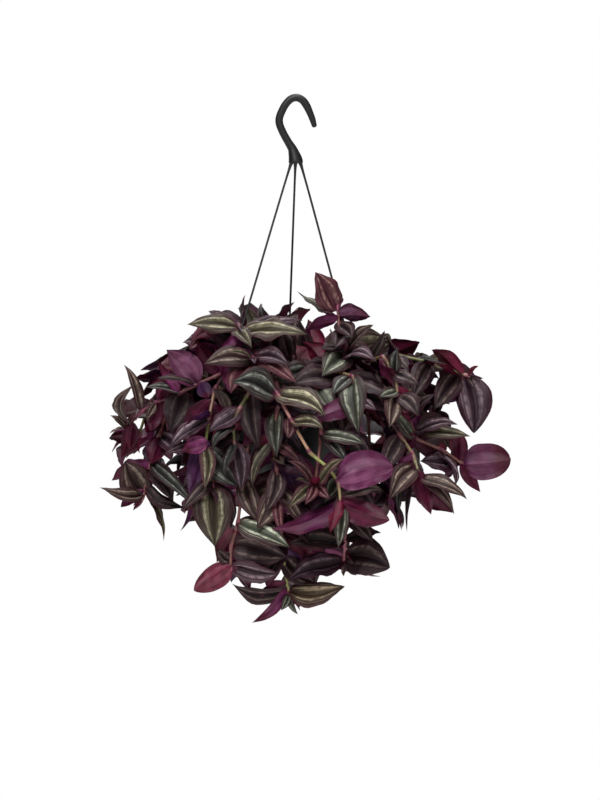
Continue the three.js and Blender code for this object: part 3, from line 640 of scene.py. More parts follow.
def tube(stations, sides):
    """A closed round tube through stations (point, radius): its points, faces and each point's
    station. The section keeps from twisting along the way."""
    points, faces, rows = [], [], []
    side = vec(*TUBE_SIDE)
    centres = [at for at, _ in stations]
    last = len(stations) - 1
    for i, (at, radius) in enumerate(stations):
        along = unit(centres[min(i + 1, last)] - centres[max(i - 1, 0)])
        side = unit(side - along * (side @ along))
        other = np.cross(along, side)
        for k in range(sides):
            turn = 2 * math.pi * k / sides
            points.append(at + radius * (side * math.cos(turn) + other * math.sin(turn)))
            rows.append(i)
    top = last * sides
    for row in range(0, top, sides):
        for k in range(sides):
            n = (k + 1) % sides
            faces.append((row + k, row + n, row + n + sides, row + k + sides))
    start, end = len(points), len(points) + 1
    points += [centres[0], centres[last]]
    rows += [0, last]
    for k in range(sides):
        n = (k + 1) % sides
        faces += [(start, n, k), (end, top + k, top + n)]
    return points, faces, rows


# Leaves

LEAF_ROWS = (
    0, 0.03, 0.07, 0.12, 0.18, 0.25, 0.33, 0.41, 0.5, 0.59, 0.67, 0.75, 0.82, 0.88, 0.93, 0.97,
)
LEAF_COLUMNS = (-1, -0.88, -0.66, -0.4, -0.14, 0, 0.14, 0.4, 0.66, 0.88, 1)
WIDEST = 0.36
STALK = 0.16
FULLER = 1.13
MID_THICK = 0.55
RIB_THICK = 0.35
RIB_WIDTH = 0.12
BASE_CHANNEL = 0.35
RIPPLES = 6
# What differs from leaf to leaf, drawn in this order: the sideways bend, the halves' uneven
# widths, the fine ripple, the twist in degrees, the arch's lean, the fold along the midrib, the
# halves' fullness, the edges' curl, the wave with its number and its start on either half, and
# how far the underside is flushed red
LEAF_FORMS = {
    "sway": (-0.08, 0.08), "uneven": (-0.09, 0.09), "ripple": (0, 0.035), "twist": (-12, 12),
    "skew": (-0.2, 0.8), "fold": (0.16, 0.4), "puff": (0.07, 0.18), "curl": (0.04, 0.2),
    "wave": (0.03, 0.17), "waves": (1.5, 3), "left_start": (0, 6.3), "right_start": (0, 6.3),
    "aged": (0, 1),
}


def leaf_faces():
    """The faces of every leaf, over two grids that share their rim, and which side each is on.
    Both sides are split along the same diagonals, so that neither comes through the other."""
    rows, columns = len(LEAF_ROWS), len(LEAF_COLUMNS)
    tip = rows * columns

    def upper(i, j):
        return i * columns + j

    def lower(i, j):
        if i == 0 or j in (0, columns - 1):
            return upper(i, j)
        return tip + 1 + (i - 1) * (columns - 2) + j - 1

    faces, kinds = [], []
    for i in range(rows):
        for j in range(columns - 1):
            for kind, at in enumerate((upper, lower)):
                a, b = at(i, j), at(i, j + 1)
                halves = [(a, b, tip)]
                if i + 1 < rows:
                    c, d = at(i + 1, j + 1), at(i + 1, j)
                    halves = [(a, b, c), (a, c, d)]
                for half in halves:
                    faces.append(half if kind == 0 else half[::-1])
                    kinds.append(kind)
    return faces, kinds


LEAF_FACES, LEAF_KINDS = leaf_faces()


def leaf_width(t, blunt=0):
    """Half the width along the leaf, as a share of its widest: a narrow base, a full lower third
    and a drawn-out point, or a blunt end."""
    rise = STALK + (1 - STALK) * np.sin(np.pi / 2 * np.clip(t / WIDEST, 0, 1) ** 0.72)
    u = np.clip((t - WIDEST) / (1 - WIDEST), 0, 1)
    pointed = np.cos(np.pi / 2 * u ** 1.1) * (1 - 0.25 * u ** 7)
    rounded = (1 - u ** 3) ** 0.6
    return rise * (pointed * (1 - blunt) + rounded * blunt)


def leaf_points(leaf, rng):
    """The leaf's surface: arched, folded along its midrib, with full halves and a waved margin."""
    form = {name: leaf.get(name, rng.uniform(*ends)) for name, ends in LEAF_FORMS.items()}
    length, along, side, up = leaf_frame(leaf["base"], leaf["tip"], leaf["face"])
    length *= leaf.get("short", 1)
    tip = leaf["base"] + along * length
    half = leaf["width"] / 2 * FULLER * leaf.get("wider", 1)
    t = np.array(LEAF_ROWS)[:, None]
    s = np.array(LEAF_COLUMNS)[None, :]
    span = np.abs(s)
    wide = half * leaf_width(t, leaf.get("blunt", 0))
    wide = wide * (1 + form["uneven"] * np.sign(s))
    start = np.where(s < 0, form["left_start"], form["right_start"])
    middle = np.sin(np.pi * t)
    lift = -(form["fold"] + BASE_CHANNEL * (1 - t) ** 3) * wide * (1 - span)
    lift = lift + form["puff"] * wide * 4 * span * (1 - span)
    lift = lift - form["curl"] * wide * span ** 4
    lift = lift + form["wave"] * half * span ** 2 * np.sin(2 * np.pi * form["waves"] * t + start) * middle
    lift = lift + form["ripple"] * half * span ** 3 * np.sin(2 * np.pi * RIPPLES * t + start * 2)
    turn = math.radians(form["twist"]) * middle
    across = s * wide * np.cos(turn) - lift * np.sin(turn) + form["sway"] * length * middle
    arch = 4 * leaf.get("arch", leaf["bow"]) * length * t * (1 - t)
    arch = arch * (1 + form["skew"] * (2 * t - 1))
    rise = s * wide * np.sin(turn) + lift * np.cos(turn) + arch
    base_end = np.clip(t / 0.05, 0, 1)
    thick = MID_THICK * (1 - span ** 2) * base_end * np.clip((1 - t) / 0.08, 0.25, 1)
    rib = RIB_THICK * np.exp(-(s / RIB_WIDTH) ** 2) * base_end * (1 - t)

    def surface(height):
        return leaf["base"] + (along * (length * t)[..., None] + side * across[..., None]
                               + up * height[..., None])

    def both_sides(upper, at_tip, lower):
        """A leaf's rows in the order of its points: its upper side, its tip, its lower side."""
        size = upper.shape[-1]
        return np.concatenate((upper.reshape(-1, size), (at_tip,), lower[1:, 1:-1].reshape(-1, size)))

    points = both_sides(surface(rise + thick / 2), tip, surface(rise - thick / 2 - rib))
    grid = np.stack(np.broadcast_arrays(t, s, form["aged"]), axis=-1)
    return points, both_sides(grid, (1, 0, form["aged"]), grid)


TOP_CHOICES = "gobpdnrtx"
TOP_WEIGHTS = (2, 2, 4, 5, 6, 2, 2, 2, 1)
# The weights on the left, with more red: partly the leaves' own colour, partly a painted red glow of
# light shining through them from behind
TOP_WEIGHTS_LEFT = (1, 1, 2, 4, 5, 1, 4, 1, 8)
LEFT_OF = -95
UNDER_CHOICES = "mMvwc"
UNDER_WEIGHTS = (3, 1, 2, 4, 2)
# How light the leaves are, and how much the colours within one differ
LIGHT = (0.86, 1.16)
PAINT_LIGHT = (0.94, 1.06)
# How strongly the silver bands show, on placed leaves and on the others
STRONG_PLACED = (0.7, 1)
STRONG_OTHER = (0.15, 0.72)
# The middle of the front, where the leaves are darkened with painted shade for the shadow deep inside the
# foliage
PAINTED_SHADE_X = (-85, 5)
PAINTED_SHADE_Z = (-402, -312)
PAINTED_SHADE_LIGHT = 0.62


def leaf_paints(leaf, rng):
    """A leaf's colours, from the tone of the side that shows and a draw for the other. The old
    leaves on the left are redder, partly in their own colour and partly with a painted red glow of
    light shining through them from behind. Those in the middle of the front are darkened with
    painted shade."""
    tone = leaf["tone"]
    weights = TOP_WEIGHTS_LEFT if leaf["tip"][0] < LEFT_OF else TOP_WEIGHTS
    top = tone if tone in TOP_TONES else rng.choices(TOP_CHOICES, weights)[0]
    under = tone if tone in UNDER_TONES else rng.choices(UNDER_CHOICES, UNDER_WEIGHTS)[0]
    light = leaf.get("light", rng.uniform(*LIGHT))
    x, _, z = leaf["tip"]
    # Painted shade: leaves in the middle of the front are made darker, as the shadow deep in the foliage
    # would make them
    if PAINTED_SHADE_X[0] < x < PAINTED_SHADE_X[1] and PAINTED_SHADE_Z[0] < z < PAINTED_SHADE_Z[1] and "strong" not in leaf:
        light *= PAINTED_SHADE_LIGHT
    paints = {}
    for paint, code in zip(PAINTS, TOP_TONES[top] + UNDER_TONES[under]):
        paints[paint] = linear(code) * light * rng.uniform(*PAINT_LIGHT)
    strong = leaf.get("strong", rng.uniform(*(STRONG_PLACED if tone else STRONG_OTHER)))
    paints["band"] = paints["centre"] * (1 - strong) + paints["band"] * strong
    return paints


def draw_leaf(leaf, rng):
    leaf["draws"] = rng.getstate()
    leaf["points"], leaf["places"] = leaf_points(leaf, rng)
    leaf["paints"] = leaf_paints(leaf, rng)


# Small turns and bows of the placed leaves, tried in turn where a leaf cuts through others. The
# leaves of one joint meet at their bases, so only the rest of each blade counts.
TRIED_TWISTS = (None, 0, -9, 9, -18, 18)
TRIED_BOWS = (0, -0.04, 0.04, 0.08)
FREE_FROM = 0.14
CUT_ALLOWED = 10
CLEAR_MARGIN = 3
COST_OF_TWIST = 0.3
COST_OF_BOW = 60


def leaf_tree(leaf):
    along = leaf["places"][:, 0]
    faces = [face for face in LEAF_FACES if min(along[corner] for corner in face) > FREE_FROM]
    return bvhtree.BVHTree.FromPolygons(leaf["points"].tolist(), faces)


def cuts(leaf, others):
    """How many pairs of faces of a leaf and of the others cut through each other."""
    tree = leaf_tree(leaf)
    return sum(len(tree.overlap(other["tree"])) for other in others)


def clear_leaf(leaf, others):
    """Gives a leaf the turn and the bow with which it cuts through the others least."""
    least = cuts(leaf, others)
    if least <= CUT_ALLOWED:
        return
    best = leaf
    rng = random.Random(SEED)
    for twist in (None,) if "twist" in leaf else TRIED_TWISTS:
        for bow in (0,) if "arch" in leaf else TRIED_BOWS:
            trial = dict(leaf)
            trial["arch"] = leaf.get("arch", leaf["bow"]) + bow
            if twist is not None:
                trial["twist"] = twist
            rng.setstate(leaf["draws"])
            trial["points"] = leaf_points(trial, rng)[0]
            cost = cuts(trial, others) + COST_OF_TWIST * abs(twist or 0) + COST_OF_BOW * abs(bow)
            if cost < least:
                least, best = cost, trial
    leaf["points"] = best["points"]
    leaf["tree"] = leaf_tree(leaf)


def clear_placed_leaves(stems):
    leaves = [leaf for stem in stems for leaf in stem["leaves"] + stem["added"]]
    for leaf in leaves:
        leaf["tree"] = leaf_tree(leaf)
    lows = np.array([leaf["points"].min(axis=0) for leaf in leaves]) - CLEAR_MARGIN
    highs = np.array([leaf["points"].max(axis=0) for leaf in leaves]) + CLEAR_MARGIN
    for i, leaf in enumerate(leaves):
        if leaf.get("placed"):
            near = np.all((lows <= highs[i]) & (highs >= lows[i]), axis=1)
            clear_leaf(leaf, [leaves[k] for k in np.flatnonzero(near) if k != i])


# Stems: round, swollen at the joints, with a leaf sheath past each

STEM_MATERIAL = 2
STEM_SIDES = 10
STEM_THICK = 1.9
STEM_THIN = 1.45
SHEATH_LENGTH = 5.5
SHEATH_THICK = 0.38
# Where a stem's stations lie: this far after one joint, up to a share of the way to the next,
# and from there on this far before the next
AFTER_JOINT = (0, 1.2, 3, SHEATH_LENGTH, SHEATH_LENGTH + 0.4, SHEATH_LENGTH + 3)
BEFORE_JOINT = (12, 7, 4.5, 3, 1.8)
NEAR_SHARE = 0.45
# A stem's end: how far past the last joint, the radius there and the nearness to a joint
STEM_END = ((0, STEM_THIN * 1.25, 1), (2, STEM_THIN, 1), (3.4, 0.5, 0.6))
# The swelling of a stem: how much, how far before a joint, and how far it reaches
SWELL = 0.34
SWELL_BEFORE = 2
SWELL_REACH = 2.4
# How much of a stretch's slope is its own and how much its ends'
OWN_SLOPE = 0.78
END_SLOPE = 0.22
SHOWN_STEM = "stem_long_front"
STEM_COLOURS = ("7a4a45", "6e6e3e", "7a6648", "6c3a45", "5f6138", "84574f")
# The colours of the stems that show, stretch by stretch from the soil
SHOWN_STEMS = {
    "stem_long_front": ("33202a",) * 5 + ("a9746c", "b08a70", "9aa05a", "8f8f58", "9c8a62"),
    "stem_bottom_mid": ("4a2a30",) * 7 + ("9aa05a",),
    "stem_bottom_right": ("4a2a30",) * 6 + ("a0606a", "a0606a"),
    "stem_right_low": ("4a2a30",) * 4 + ("8a7a58", "a8a07a"),
    "stem_left_front": ("4a2a30",) * 3 + ("8a6a58", "6e6e3e"),
    "stem_left_high": ("4a2a30",) * 2 + ("7d4a4e",) * 3 + ("6a3440",) * 3,
}
JOINT_COLOURS = ("94545f", "7d3650", "a06c70", "6f2a46")
HAIRS = 18
HAIR_RADIUS = 0.06
HAIR_OUT = (0.4, 0.9)
HAIR_AHEAD = (0.4, 1.2)
HAIR_LENGTHS = (1.4, 2.6)
HAIR_PAINTS = dict.fromkeys(("field", "pale"), linear("b98a86"))


def stem_stations(line):
    """Stations along a stem as (point, radius), with each one's nearness to a joint and to a
    sheath, and its stretch. Each stretch is nearly straight and bends at the joints."""
    ends = [line[0]] + line + [line[-1]]
    ways = [unit(after - before) for before, after in zip(ends, ends[2:])]
    stations, marks = [], []
    for i in range(1, len(line)):
        start, end = line[i - 1], line[i]
        gap = np.linalg.norm(end - start)
        places = {d for d in AFTER_JOINT if d < gap * NEAR_SHARE} | {gap * 0.5}
        places |= {gap - d for d in BEFORE_JOINT if gap - d > gap * NEAR_SHARE}
        slopes = [(end - start) * OWN_SLOPE + way * END_SLOPE * gap for way in ways[i - 1:i + 1]]
        for d in sorted(places):
            u = d / gap
            at = start * (2 * u ** 3 - 3 * u ** 2 + 1) + slopes[0] * (u ** 3 - 2 * u ** 2 + u)
            at = at + end * (3 * u ** 2 - 2 * u ** 3) + slopes[1] * (u ** 3 - u ** 2)
            share = (i - 1 + u) / (len(line) - 1)
            swell = sum(math.exp(-((away - SWELL_BEFORE) / SWELL_REACH) ** 2) for away in (gap - d, -d))
            sheath = 1.0 if d <= SHEATH_LENGTH and i > 1 else 0.0
            radius = (STEM_THICK + (STEM_THIN - STEM_THICK) * share) * (1 + SWELL * swell)
            stations.append((at, radius + SHEATH_THICK * sheath))
            marks.append((min(1, swell), sheath, i - 1))
    for past, radius, near in STEM_END:
        stations.append((line[-1] + ways[-1] * past, radius))
        marks.append((near, 0, len(line)))
    return stations, marks


def grow_stem(body, stem, rng):
    foot = stem["foot"]
    line = [foot - vec(0, 0, FOOT_DEPTH), foot + vec(0, 0, FOOT_RISE)] + stem["joints"]
    stations, marks = stem_stations(line)
    points, faces, rows = tube(stations, STEM_SIDES)
    seed = rng.random()
    places = np.array([marks[row][:2] + (seed,) for row in rows])
    shown = SHOWN_STEMS.get(stem["name"], (rng.choice(STEM_COLOURS),))
    stretches = [min(mark[2], len(shown) - 1) for mark in marks]
    paints = {
        "field": np.array([linear(shown[stretches[row]]) for row in rows]),
        "pale": linear(rng.choice(JOINT_COLOURS)),
    }
    body.add(points, faces, STEM_MATERIAL, places, paints)
    for at, ahead in zip(line[2:], line[3:]):
        add_hairs(body, at, unit(ahead - at), rng)


def add_hairs(body, at, way, rng):
    """Fine pale hairs round the mouth of the sheath past one joint."""
    side = unit(np.cross(way, vec(*TUBE_SIDE)))
    mouth = at + way * (SHEATH_LENGTH - 1)
    for k in range(HAIRS):
        out = turned_about(side, way, 360 * (k + rng.random()) / HAIRS)
        root = mouth + out * STEM_THIN
        aim = out * rng.uniform(*HAIR_OUT) + way * rng.uniform(*HAIR_AHEAD)
        tip = root + aim * rng.uniform(*HAIR_LENGTHS)
        points, faces, _ = tube([(root, HAIR_RADIUS), (tip, HAIR_RADIUS / 4)], 3)
        body.add(points, faces, STEM_MATERIAL, None, HAIR_PAINTS)


# Added leaves: along the stems, where there is room between the leaves already there

# The see-through gaps in the foliage, as seen from the front: x and z, low and high
CLEAR_VIEWS = (
    ((-178, -164), (-320, -289)), ((-166, -155), (-330, -319)), ((-154, -149), (-304, -295)),
    ((-151, -145), (-333, -324)), ((-160, -152), (-348, -334)), ((-114, -107), (-328, -312)),
    ((-127, -117), (-340, -326)), ((-126, -113), (-410, -400)), ((-64, -51), (-425, -399)),
    ((19, 41), (-249, -221)), ((59, 65), (-225, -215)), ((61, 80), (-340, -317)),
    ((79, 88), (-338, -327)), ((156, 173), (-335, -309)), ((95, 113), (-414, -400)),
    ((-25, -13), (-474, -464)),
)
SHOWN_FROM = 4
CELL = 3
CROWD_ROWS = 12
CROWD_COLUMNS = 9
LEAF_ROOM = 1.9
POT_ROOM = 3
RIM_ROOM = 2
BOX_ROOM = 4
BOX_LOW = np.array(CAD_BOX[0]) / MM - BOX_ROOM
BOX_HIGH = np.array(CAD_BOX[1]) / MM + BOX_ROOM
# How much of an added leaf, or of a bud, may lie close to others at its base
OWN_BASE = 0.22
BUD_BASE = 0.45
# The rounds in which leaves are added: their lengths, the step along a stem, the tries at each
# place and how far outwards they point
FILLS = (
    ((44, 58), 10, 12, (-0.1, 0.6)), ((40, 54), 10, 12, (-1.2, -0.1)), ((34, 46), 9, 12, (-0.1, 0.6)),
    ((30, 42), 8, 12, (-1.2, 0.1)), ((24, 34), 8, 8, (-0.4, 0.6)),
)
# Where the first added leaf of a stretch grows and how far on the next ones, in steps, where
# they point besides outwards, and how far their upper faces look outwards and up
FIRST_STEP = (0.2, 0.8)
NEXT_STEP = (0.8, 1.2)
AIM_SIDEWAYS = (0.25, 1)
AIM_AHEAD = (-0.1, 0.9)
AIM_UP = (-0.6, 0.1)
FACES_OUT = (0.9, 0.9, 0.9, -0.7)
FACE_UP = (0.3, 1)
ADDED_SLIMNESS = (0.44, 0.56)
ADDED_BOW = (0.08, 0.2)
SOIL_ROOM = 8
BUDS = 2
BUD_TRIES = 24
BUD_LENGTHS = (12, 20)
BUD_WIDTHS = (5, 7.5)
BUD_SPREAD = 0.6
BUD_TONES = "yrob"
BUD_BOW = 0.14
BUD_FOLD = 0.8


def view_cell(p):
    return int(p[0] // CELL), int(p[2] // CELL)


class Crowd:
    """Sample points of all the leaves, to keep added leaves clear of them and inside the outline
    that they make from the front."""

    def __init__(self):
        self.cells = {}
        self.front = set()
        self.shown = {}

    def show(self, points):
        """Keeps these points in sight from the front: nothing is added before them."""
        for p in points.tolist():
            self.shown[view_cell(p)] = min(p[1], self.shown.get(view_cell(p), p[1]))

    def hides(self, p):
        return p[1] < self.shown.get(view_cell(p), -math.inf)

    def samples(self, leaf, finer=1):
        """Points all over a leaf, from its base to its tip."""
        length, along, side, up = leaf_frame(leaf["base"], leaf["tip"], leaf["face"])
        t = np.linspace(0, 1, CROWD_ROWS * finer + 1)[:, None]
        s = np.linspace(-1, 1, (CROWD_COLUMNS - 1) * finer + 1)[None, :]
        wide = leaf["width"] / 2 * leaf_width(t)
        rise = 4 * leaf["bow"] * length * t * (1 - t) - LEAF_FOLD * wide * (1 - np.abs(s))
        points = along * (length * t)[..., None] + side * (s * wide)[..., None] + up * rise[..., None]
        return leaf["base"] + points.reshape(-1, 3)

    def add(self, points, outline):
        for p in points.tolist():
            self.cells.setdefault(tuple(int(c // CELL) for c in p), []).append(p)
            if outline:
                self.front.add(view_cell(p))

    def near(self, p, room):
        cx, cy, cz = (int(c // CELL) for c in p)
        for i in (cx - 1, cx, cx + 1):
            for j in (cy - 1, cy, cy + 1):
                for k in (cz - 1, cz, cz + 1):
                    for q in self.cells.get((i, j, k), ()):
                        if math.dist(p, q) < room:
                            return True
        return False

    def inside_outline(self, p):
        cx, cz = view_cell(p)
        return any((cx + i, cz + k) in self.front for i in (-1, 0, 1) for k in (-1, 0, 1))


def in_clear_view(p):
    return any(x[0] < p[0] < x[1] and z[0] < p[2] < z[1] for x, z in CLEAR_VIEWS)


def in_pot(p):
    out = math.hypot(p[0] - POT_X, p[1])
    return out < RIM_RADIUS + POT_ROOM and RIM_Z - POT_HEIGHT - POT_ROOM < p[2] < RIM_Z + RIM_ROOM


def fits(leaf, crowd, own_base=OWN_BASE):
    samples = crowd.samples(leaf)
    if (samples < BOX_LOW).any() or (samples > BOX_HIGH).any():
        return False
    points = samples.tolist()
    for p in points[::-3]:
        if in_clear_view(p) or in_pot(p) or crowd.hides(p) or not crowd.inside_outline(p):
            return False
    free = int(len(points) * own_base)
    return not any(crowd.near(p, LEAF_ROOM) for p in points[free:])


def end_buds(stem, crowd, rng):
    """Young leaves, still folded, at the growing end of one stem."""
    joint = stem["joints"][-1]
    way = unit(joint - stem["joints"][-2])
    found = []
    for _ in range(BUD_TRIES):
        aim = unit(way + vec(*(rng.uniform(-BUD_SPREAD, BUD_SPREAD) for _ in range(3))))
        leaf = {
            "base": joint,
            "tip": joint + aim * rng.uniform(*BUD_LENGTHS),
            "face": unit(np.cross(aim, vec(*(rng.uniform(-1, 1) for _ in range(3))))),
            "width": rng.uniform(*BUD_WIDTHS),
            "bow": BUD_BOW,
            "fold": BUD_FOLD,
            "tone": rng.choice(BUD_TONES),
        }
        if fits(leaf, crowd, BUD_BASE):
            crowd.add(crowd.samples(leaf), True)
            found.append(leaf)
            if len(found) == BUDS:
                break
    return found


def added_leaves(stem, crowd, rng, step, tries, sizes, outwards):
    """Leaves along one stem, between its joints and round them."""
    line = [stem["foot"]] + stem["joints"]
    found = []
    for start, end in zip(line, line[1:]):
        gap = np.linalg.norm(end - start)
        way = unit(end - start)
        at = step * rng.uniform(*FIRST_STEP)
        while at < gap:
            base = start + way * at
            at += step * rng.uniform(*NEXT_STEP)
            if base[2] < SOIL_Z + SOIL_ROOM and math.hypot(base[0] - POT_X, base[1]) < RIM_RADIUS:
                continue
            outward = unit(vec(base[0] - POT_X, base[1], 0.001))
            for _ in range(tries):
                length = rng.uniform(*sizes)
                sideways = unit(np.cross(way, outward + vec(0, 0, 0.7)))
                aim = sideways * rng.choice((-1, 1)) * rng.uniform(*AIM_SIDEWAYS)
                aim = aim + way * rng.uniform(*AIM_AHEAD) + outward * rng.uniform(*outwards)
                aim = unit(aim + vec(0, 0, rng.uniform(*AIM_UP)))
                leaf = {
                    "base": base,
                    "tip": base + aim * length,
                    "face": outward * rng.choice(FACES_OUT) + vec(0, 0, rng.uniform(*FACE_UP)),
                    "width": length * rng.uniform(*ADDED_SLIMNESS),
                    "bow": rng.uniform(*ADDED_BOW),
                    "tone": None,
                }
                if fits(leaf, crowd):
                    crowd.add(crowd.samples(leaf), False)
                    found.append(leaf)
                    break
    return found


# The pot

POT_TURNS = 112
POT_ROUNDING = 0.9
FOOT_RING_WIDTH = 13
FOOT_RING_HEIGHT = 2
FLOOR_TOP = 4
BAND_OUT = 1.8
BAND_LIP_OUT = 2.6
LUG_WIDTH = 12
LUG_TURNS = 16
LUG_BELOW_RIM = 0.05
LUG_INTO_WALL = 0.3
LUG_HOLE_RADIUS = 2.5
DRAIN_RADIUS = 4
DRAIN_CIRCLE = 27
DRAINS = 5
HOLE_TURNS = 24
# How far the bodies that cut reach below and above the rim, or the foot
CORE_REACH = (-5, 5)
LUG_HOLE_REACH = (-6, 6)
DRAIN_REACH = (-6, 8)


def round_faces(rings, sides):
    """The faces of a closed round body: a first point, rings of points and a last point."""
    last = 1 + rings * sides
    faces = []
    for k in range(sides):
        n = (k + 1) % sides
        faces.append((0, 1 + n, 1 + k))
        for a in range(1, last - sides, sides):
            faces.append((a + k, a + n, a + sides + n, a + sides + k))
        faces.append((last - sides + k, last - sides + n, last))
    return faces


def lathe(profile, sides, at):
    """A closed round body about the upright through a point, from a profile of (radius, height)
    that starts and ends on it."""
    points = [at + vec(0, 0, profile[0][1])]
    for radius, height in profile[1:-1]:
        for k in range(sides):
            turn = 2 * math.pi * k / sides
            points.append(at + vec(radius * math.cos(turn), radius * math.sin(turn), height))
    points.append(at + vec(0, 0, profile[-1][1]))
    return points, round_faces(len(profile) - 2, sides)


def rounded(profile, radius, steps=4):
    """The same profile with each corner but the ends rounded."""
    out = [profile[0]]
    for before, at, after in zip(profile, profile[1:], profile[2:]):
        a, b, c = (np.array(p, dtype=float) for p in (before, at, after))
        reach = min(radius, 0.45 * np.linalg.norm(a - b), 0.45 * np.linalg.norm(c - b))
        start, end = b + unit(a - b) * reach, b + unit(c - b) * reach
        for i in range(steps + 1):
            u = i / steps
            out.append(tuple(start * (1 - u) ** 2 + b * 2 * u * (1 - u) + end * u ** 2))
    out.append(profile[-1])
    return out


def meshed(name, points, faces):
    mesh = bpy.data.meshes.new(name)
    mesh.from_pydata([tuple(p) for p in points], [], faces)
    return new_object(name, mesh)


def cylinder(radius, reach, sides, at):
    low, high = reach
    profile = [(0, low), (radius, low), (radius, high), (0, high)]
    return meshed("cylinder", *lathe(profile, sides, at))


def combine(thing, other, operation):
    """Joins another object to a thing or cuts it away, and removes the other."""
    modifier = thing.modifiers.new("combine", "BOOLEAN")
    modifier.operation = operation
    modifier.object = other
    modifier.solver = "EXACT"
    done = thing.evaluated_get(bpy.context.evaluated_depsgraph_get())
    mesh = bpy.data.meshes.new_from_object(done)
    thing.modifiers.clear()
    thing.data = mesh
    bpy.data.objects.remove(other)


def lug_plate(turn):
    """A lug from under the lip outwards, round at its end."""
    half = LUG_WIDTH / 2
    outline = [(BODY_TOP_RADIUS - 1, -half), (LUG_CIRCLE, -half)]
    for i in range(1, LUG_TURNS):
        angle = -math.pi / 2 + math.pi * i / LUG_TURNS
        outline.append((LUG_CIRCLE + half * math.cos(angle), half * math.sin(angle)))
    outline += [(LUG_CIRCLE, half), (BODY_TOP_RADIUS - 1, half)]
    angle = math.radians(turn)
    c, s = math.cos(angle), math.sin(angle)
    count = len(outline)
    points = []
    for z in (RIM_Z - FLANGE_THICK, RIM_Z - LUG_BELOW_RIM):
        points += [(POT_X + x * c - y * s, x * s + y * c, z) for x, y in outline]
    faces = [tuple(range(count))[::-1], tuple(range(count, 2 * count))]
    faces += [(i, (i + 1) % count, count + (i + 1) % count, count + i) for i in range(count)]
    return meshed("lug", points, faces)


def make_pot(material):
    band = POT_HEIGHT - BAND_HEIGHT
    flange = POT_HEIGHT - FLANGE_THICK
    inside = BODY_FOOT_RADIUS - FOOT_RING_WIDTH
    profile = [
        (0, FOOT_RING_HEIGHT), (inside, FOOT_RING_HEIGHT), (inside, 0), (BODY_FOOT_RADIUS, 0),
        (BODY_TOP_RADIUS, band), (BODY_TOP_RADIUS + BAND_OUT, band),
        (BODY_TOP_RADIUS + BAND_LIP_OUT, flange), (RIM_RADIUS, flange), (RIM_RADIUS, POT_HEIGHT),
        (BODY_TOP_RADIUS + BAND_LIP_OUT - BAND_OUT, POT_HEIGHT),
        (BODY_TOP_RADIUS - WALL, band - WALL), (BODY_FOOT_RADIUS - WALL, FLOOR_TOP), (0, FLOOR_TOP),
    ]
    foot = around(0, 0, RIM_Z - POT_HEIGHT)
    pot = meshed("pot_shell", *lathe(rounded(profile, POT_ROUNDING), POT_TURNS, foot))
    for turn in STRAP_TURNS:
        lug = lug_plate(turn)
        core = cylinder(BODY_TOP_RADIUS - LUG_INTO_WALL, CORE_REACH, POT_TURNS, around(0, 0, RIM_Z))
        combine(lug, core, "DIFFERENCE")
        combine(pot, lug, "UNION")
        seat = around(LUG_CIRCLE, turn, RIM_Z)
        combine(pot, cylinder(LUG_HOLE_RADIUS, LUG_HOLE_REACH, HOLE_TURNS, seat), "DIFFERENCE")
    for i in range(DRAINS + 1):
        circle = DRAIN_CIRCLE if i < DRAINS else 0
        at = around(circle, 360 * i / DRAINS, RIM_Z - POT_HEIGHT)
        combine(pot, cylinder(DRAIN_RADIUS, DRAIN_REACH, HOLE_TURNS, at), "DIFFERENCE")
    pot.data.transform(Matrix.Scale(MM, 4))
    pot.data.materials.clear()
    pot.data.materials.append(material)
    finish_piece(pot, POT_SHARP, "pot")


# The soil

SOIL_CROWN = 3
SOIL_INSET = 0.7
SOIL_RINGS = 26
SOIL_TURNS = 90
SOIL_ROUGH = (-1.1, 0.5)
CRUMBS = 420
CRUMB_REACH = 0.96
CRUMB_LIFT = 0.2
CRUMB_SIZES = (0.5, 2)
CRUMB_LUMPS = (0.6, 1.1)
CRUMB_CORNERS = ((1, 0, 0), (-1, 0, 0), (0, 1, 0), (0, -1, 0), (0, 0, 1), (0, 0, -1))
CRUMB_FACES = ((0, 2, 4), (2, 1, 4), (1, 3, 4), (3, 0, 4), (2, 0, 5), (1, 2, 5), (3, 1, 5), (0, 3, 5))


def make_soil(material, rng):
    """The soil: a crumbly domed top over a plain fill, with loose crumbs on it."""
    body = Body("soil_fill", [material])
    floor = RIM_Z - POT_HEIGHT + FLOOR_TOP + 0.3
    edge = BODY_TOP_RADIUS - WALL - 1.5 * SOIL_INSET
    rings = [(BODY_FOOT_RADIUS - WALL - SOIL_INSET, floor)]
    for i in range(SOIL_RINGS):
        share = 1 - i / SOIL_RINGS
        z = SOIL_Z - WALL * max(0, share * 12 - 11) + SOIL_CROWN * (1 - share)
        rings.append((edge * share, z))
    points = [vec(POT_X, 0, floor)]
    for i, (radius, z) in enumerate(rings):
        for k in range(SOIL_TURNS):
            rough = rng.uniform(*SOIL_ROUGH) if i > 1 else 0
            turn = 360 * k / SOIL_TURNS + (rng.uniform(-1, 1) if i > 1 else 0)
            points.append(around(radius, turn, z + rough))
    points.append(vec(POT_X, 0, SOIL_Z + SOIL_CROWN))
    body.add(points, round_faces(len(rings), SOIL_TURNS))
    for _ in range(CRUMBS):
        out = edge * CRUMB_REACH * math.sqrt(rng.random())
        size = rng.uniform(*CRUMB_SIZES)
        z = SOIL_Z + SOIL_CROWN * (1 - out / edge) + size * CRUMB_LIFT
        middle = around(out, rng.uniform(0, 360), z)
        middle = middle + size * unit(vec(*(rng.gauss(0, 1) for _ in range(3)))) * CRUMB_LIFT
        corners = [middle + vec(*way) * size * rng.uniform(*CRUMB_LUMPS) for way in CRUMB_CORNERS]
        body.add(corners, CRUMB_FACES)
    body.make("soil", "soil")


# The hanger

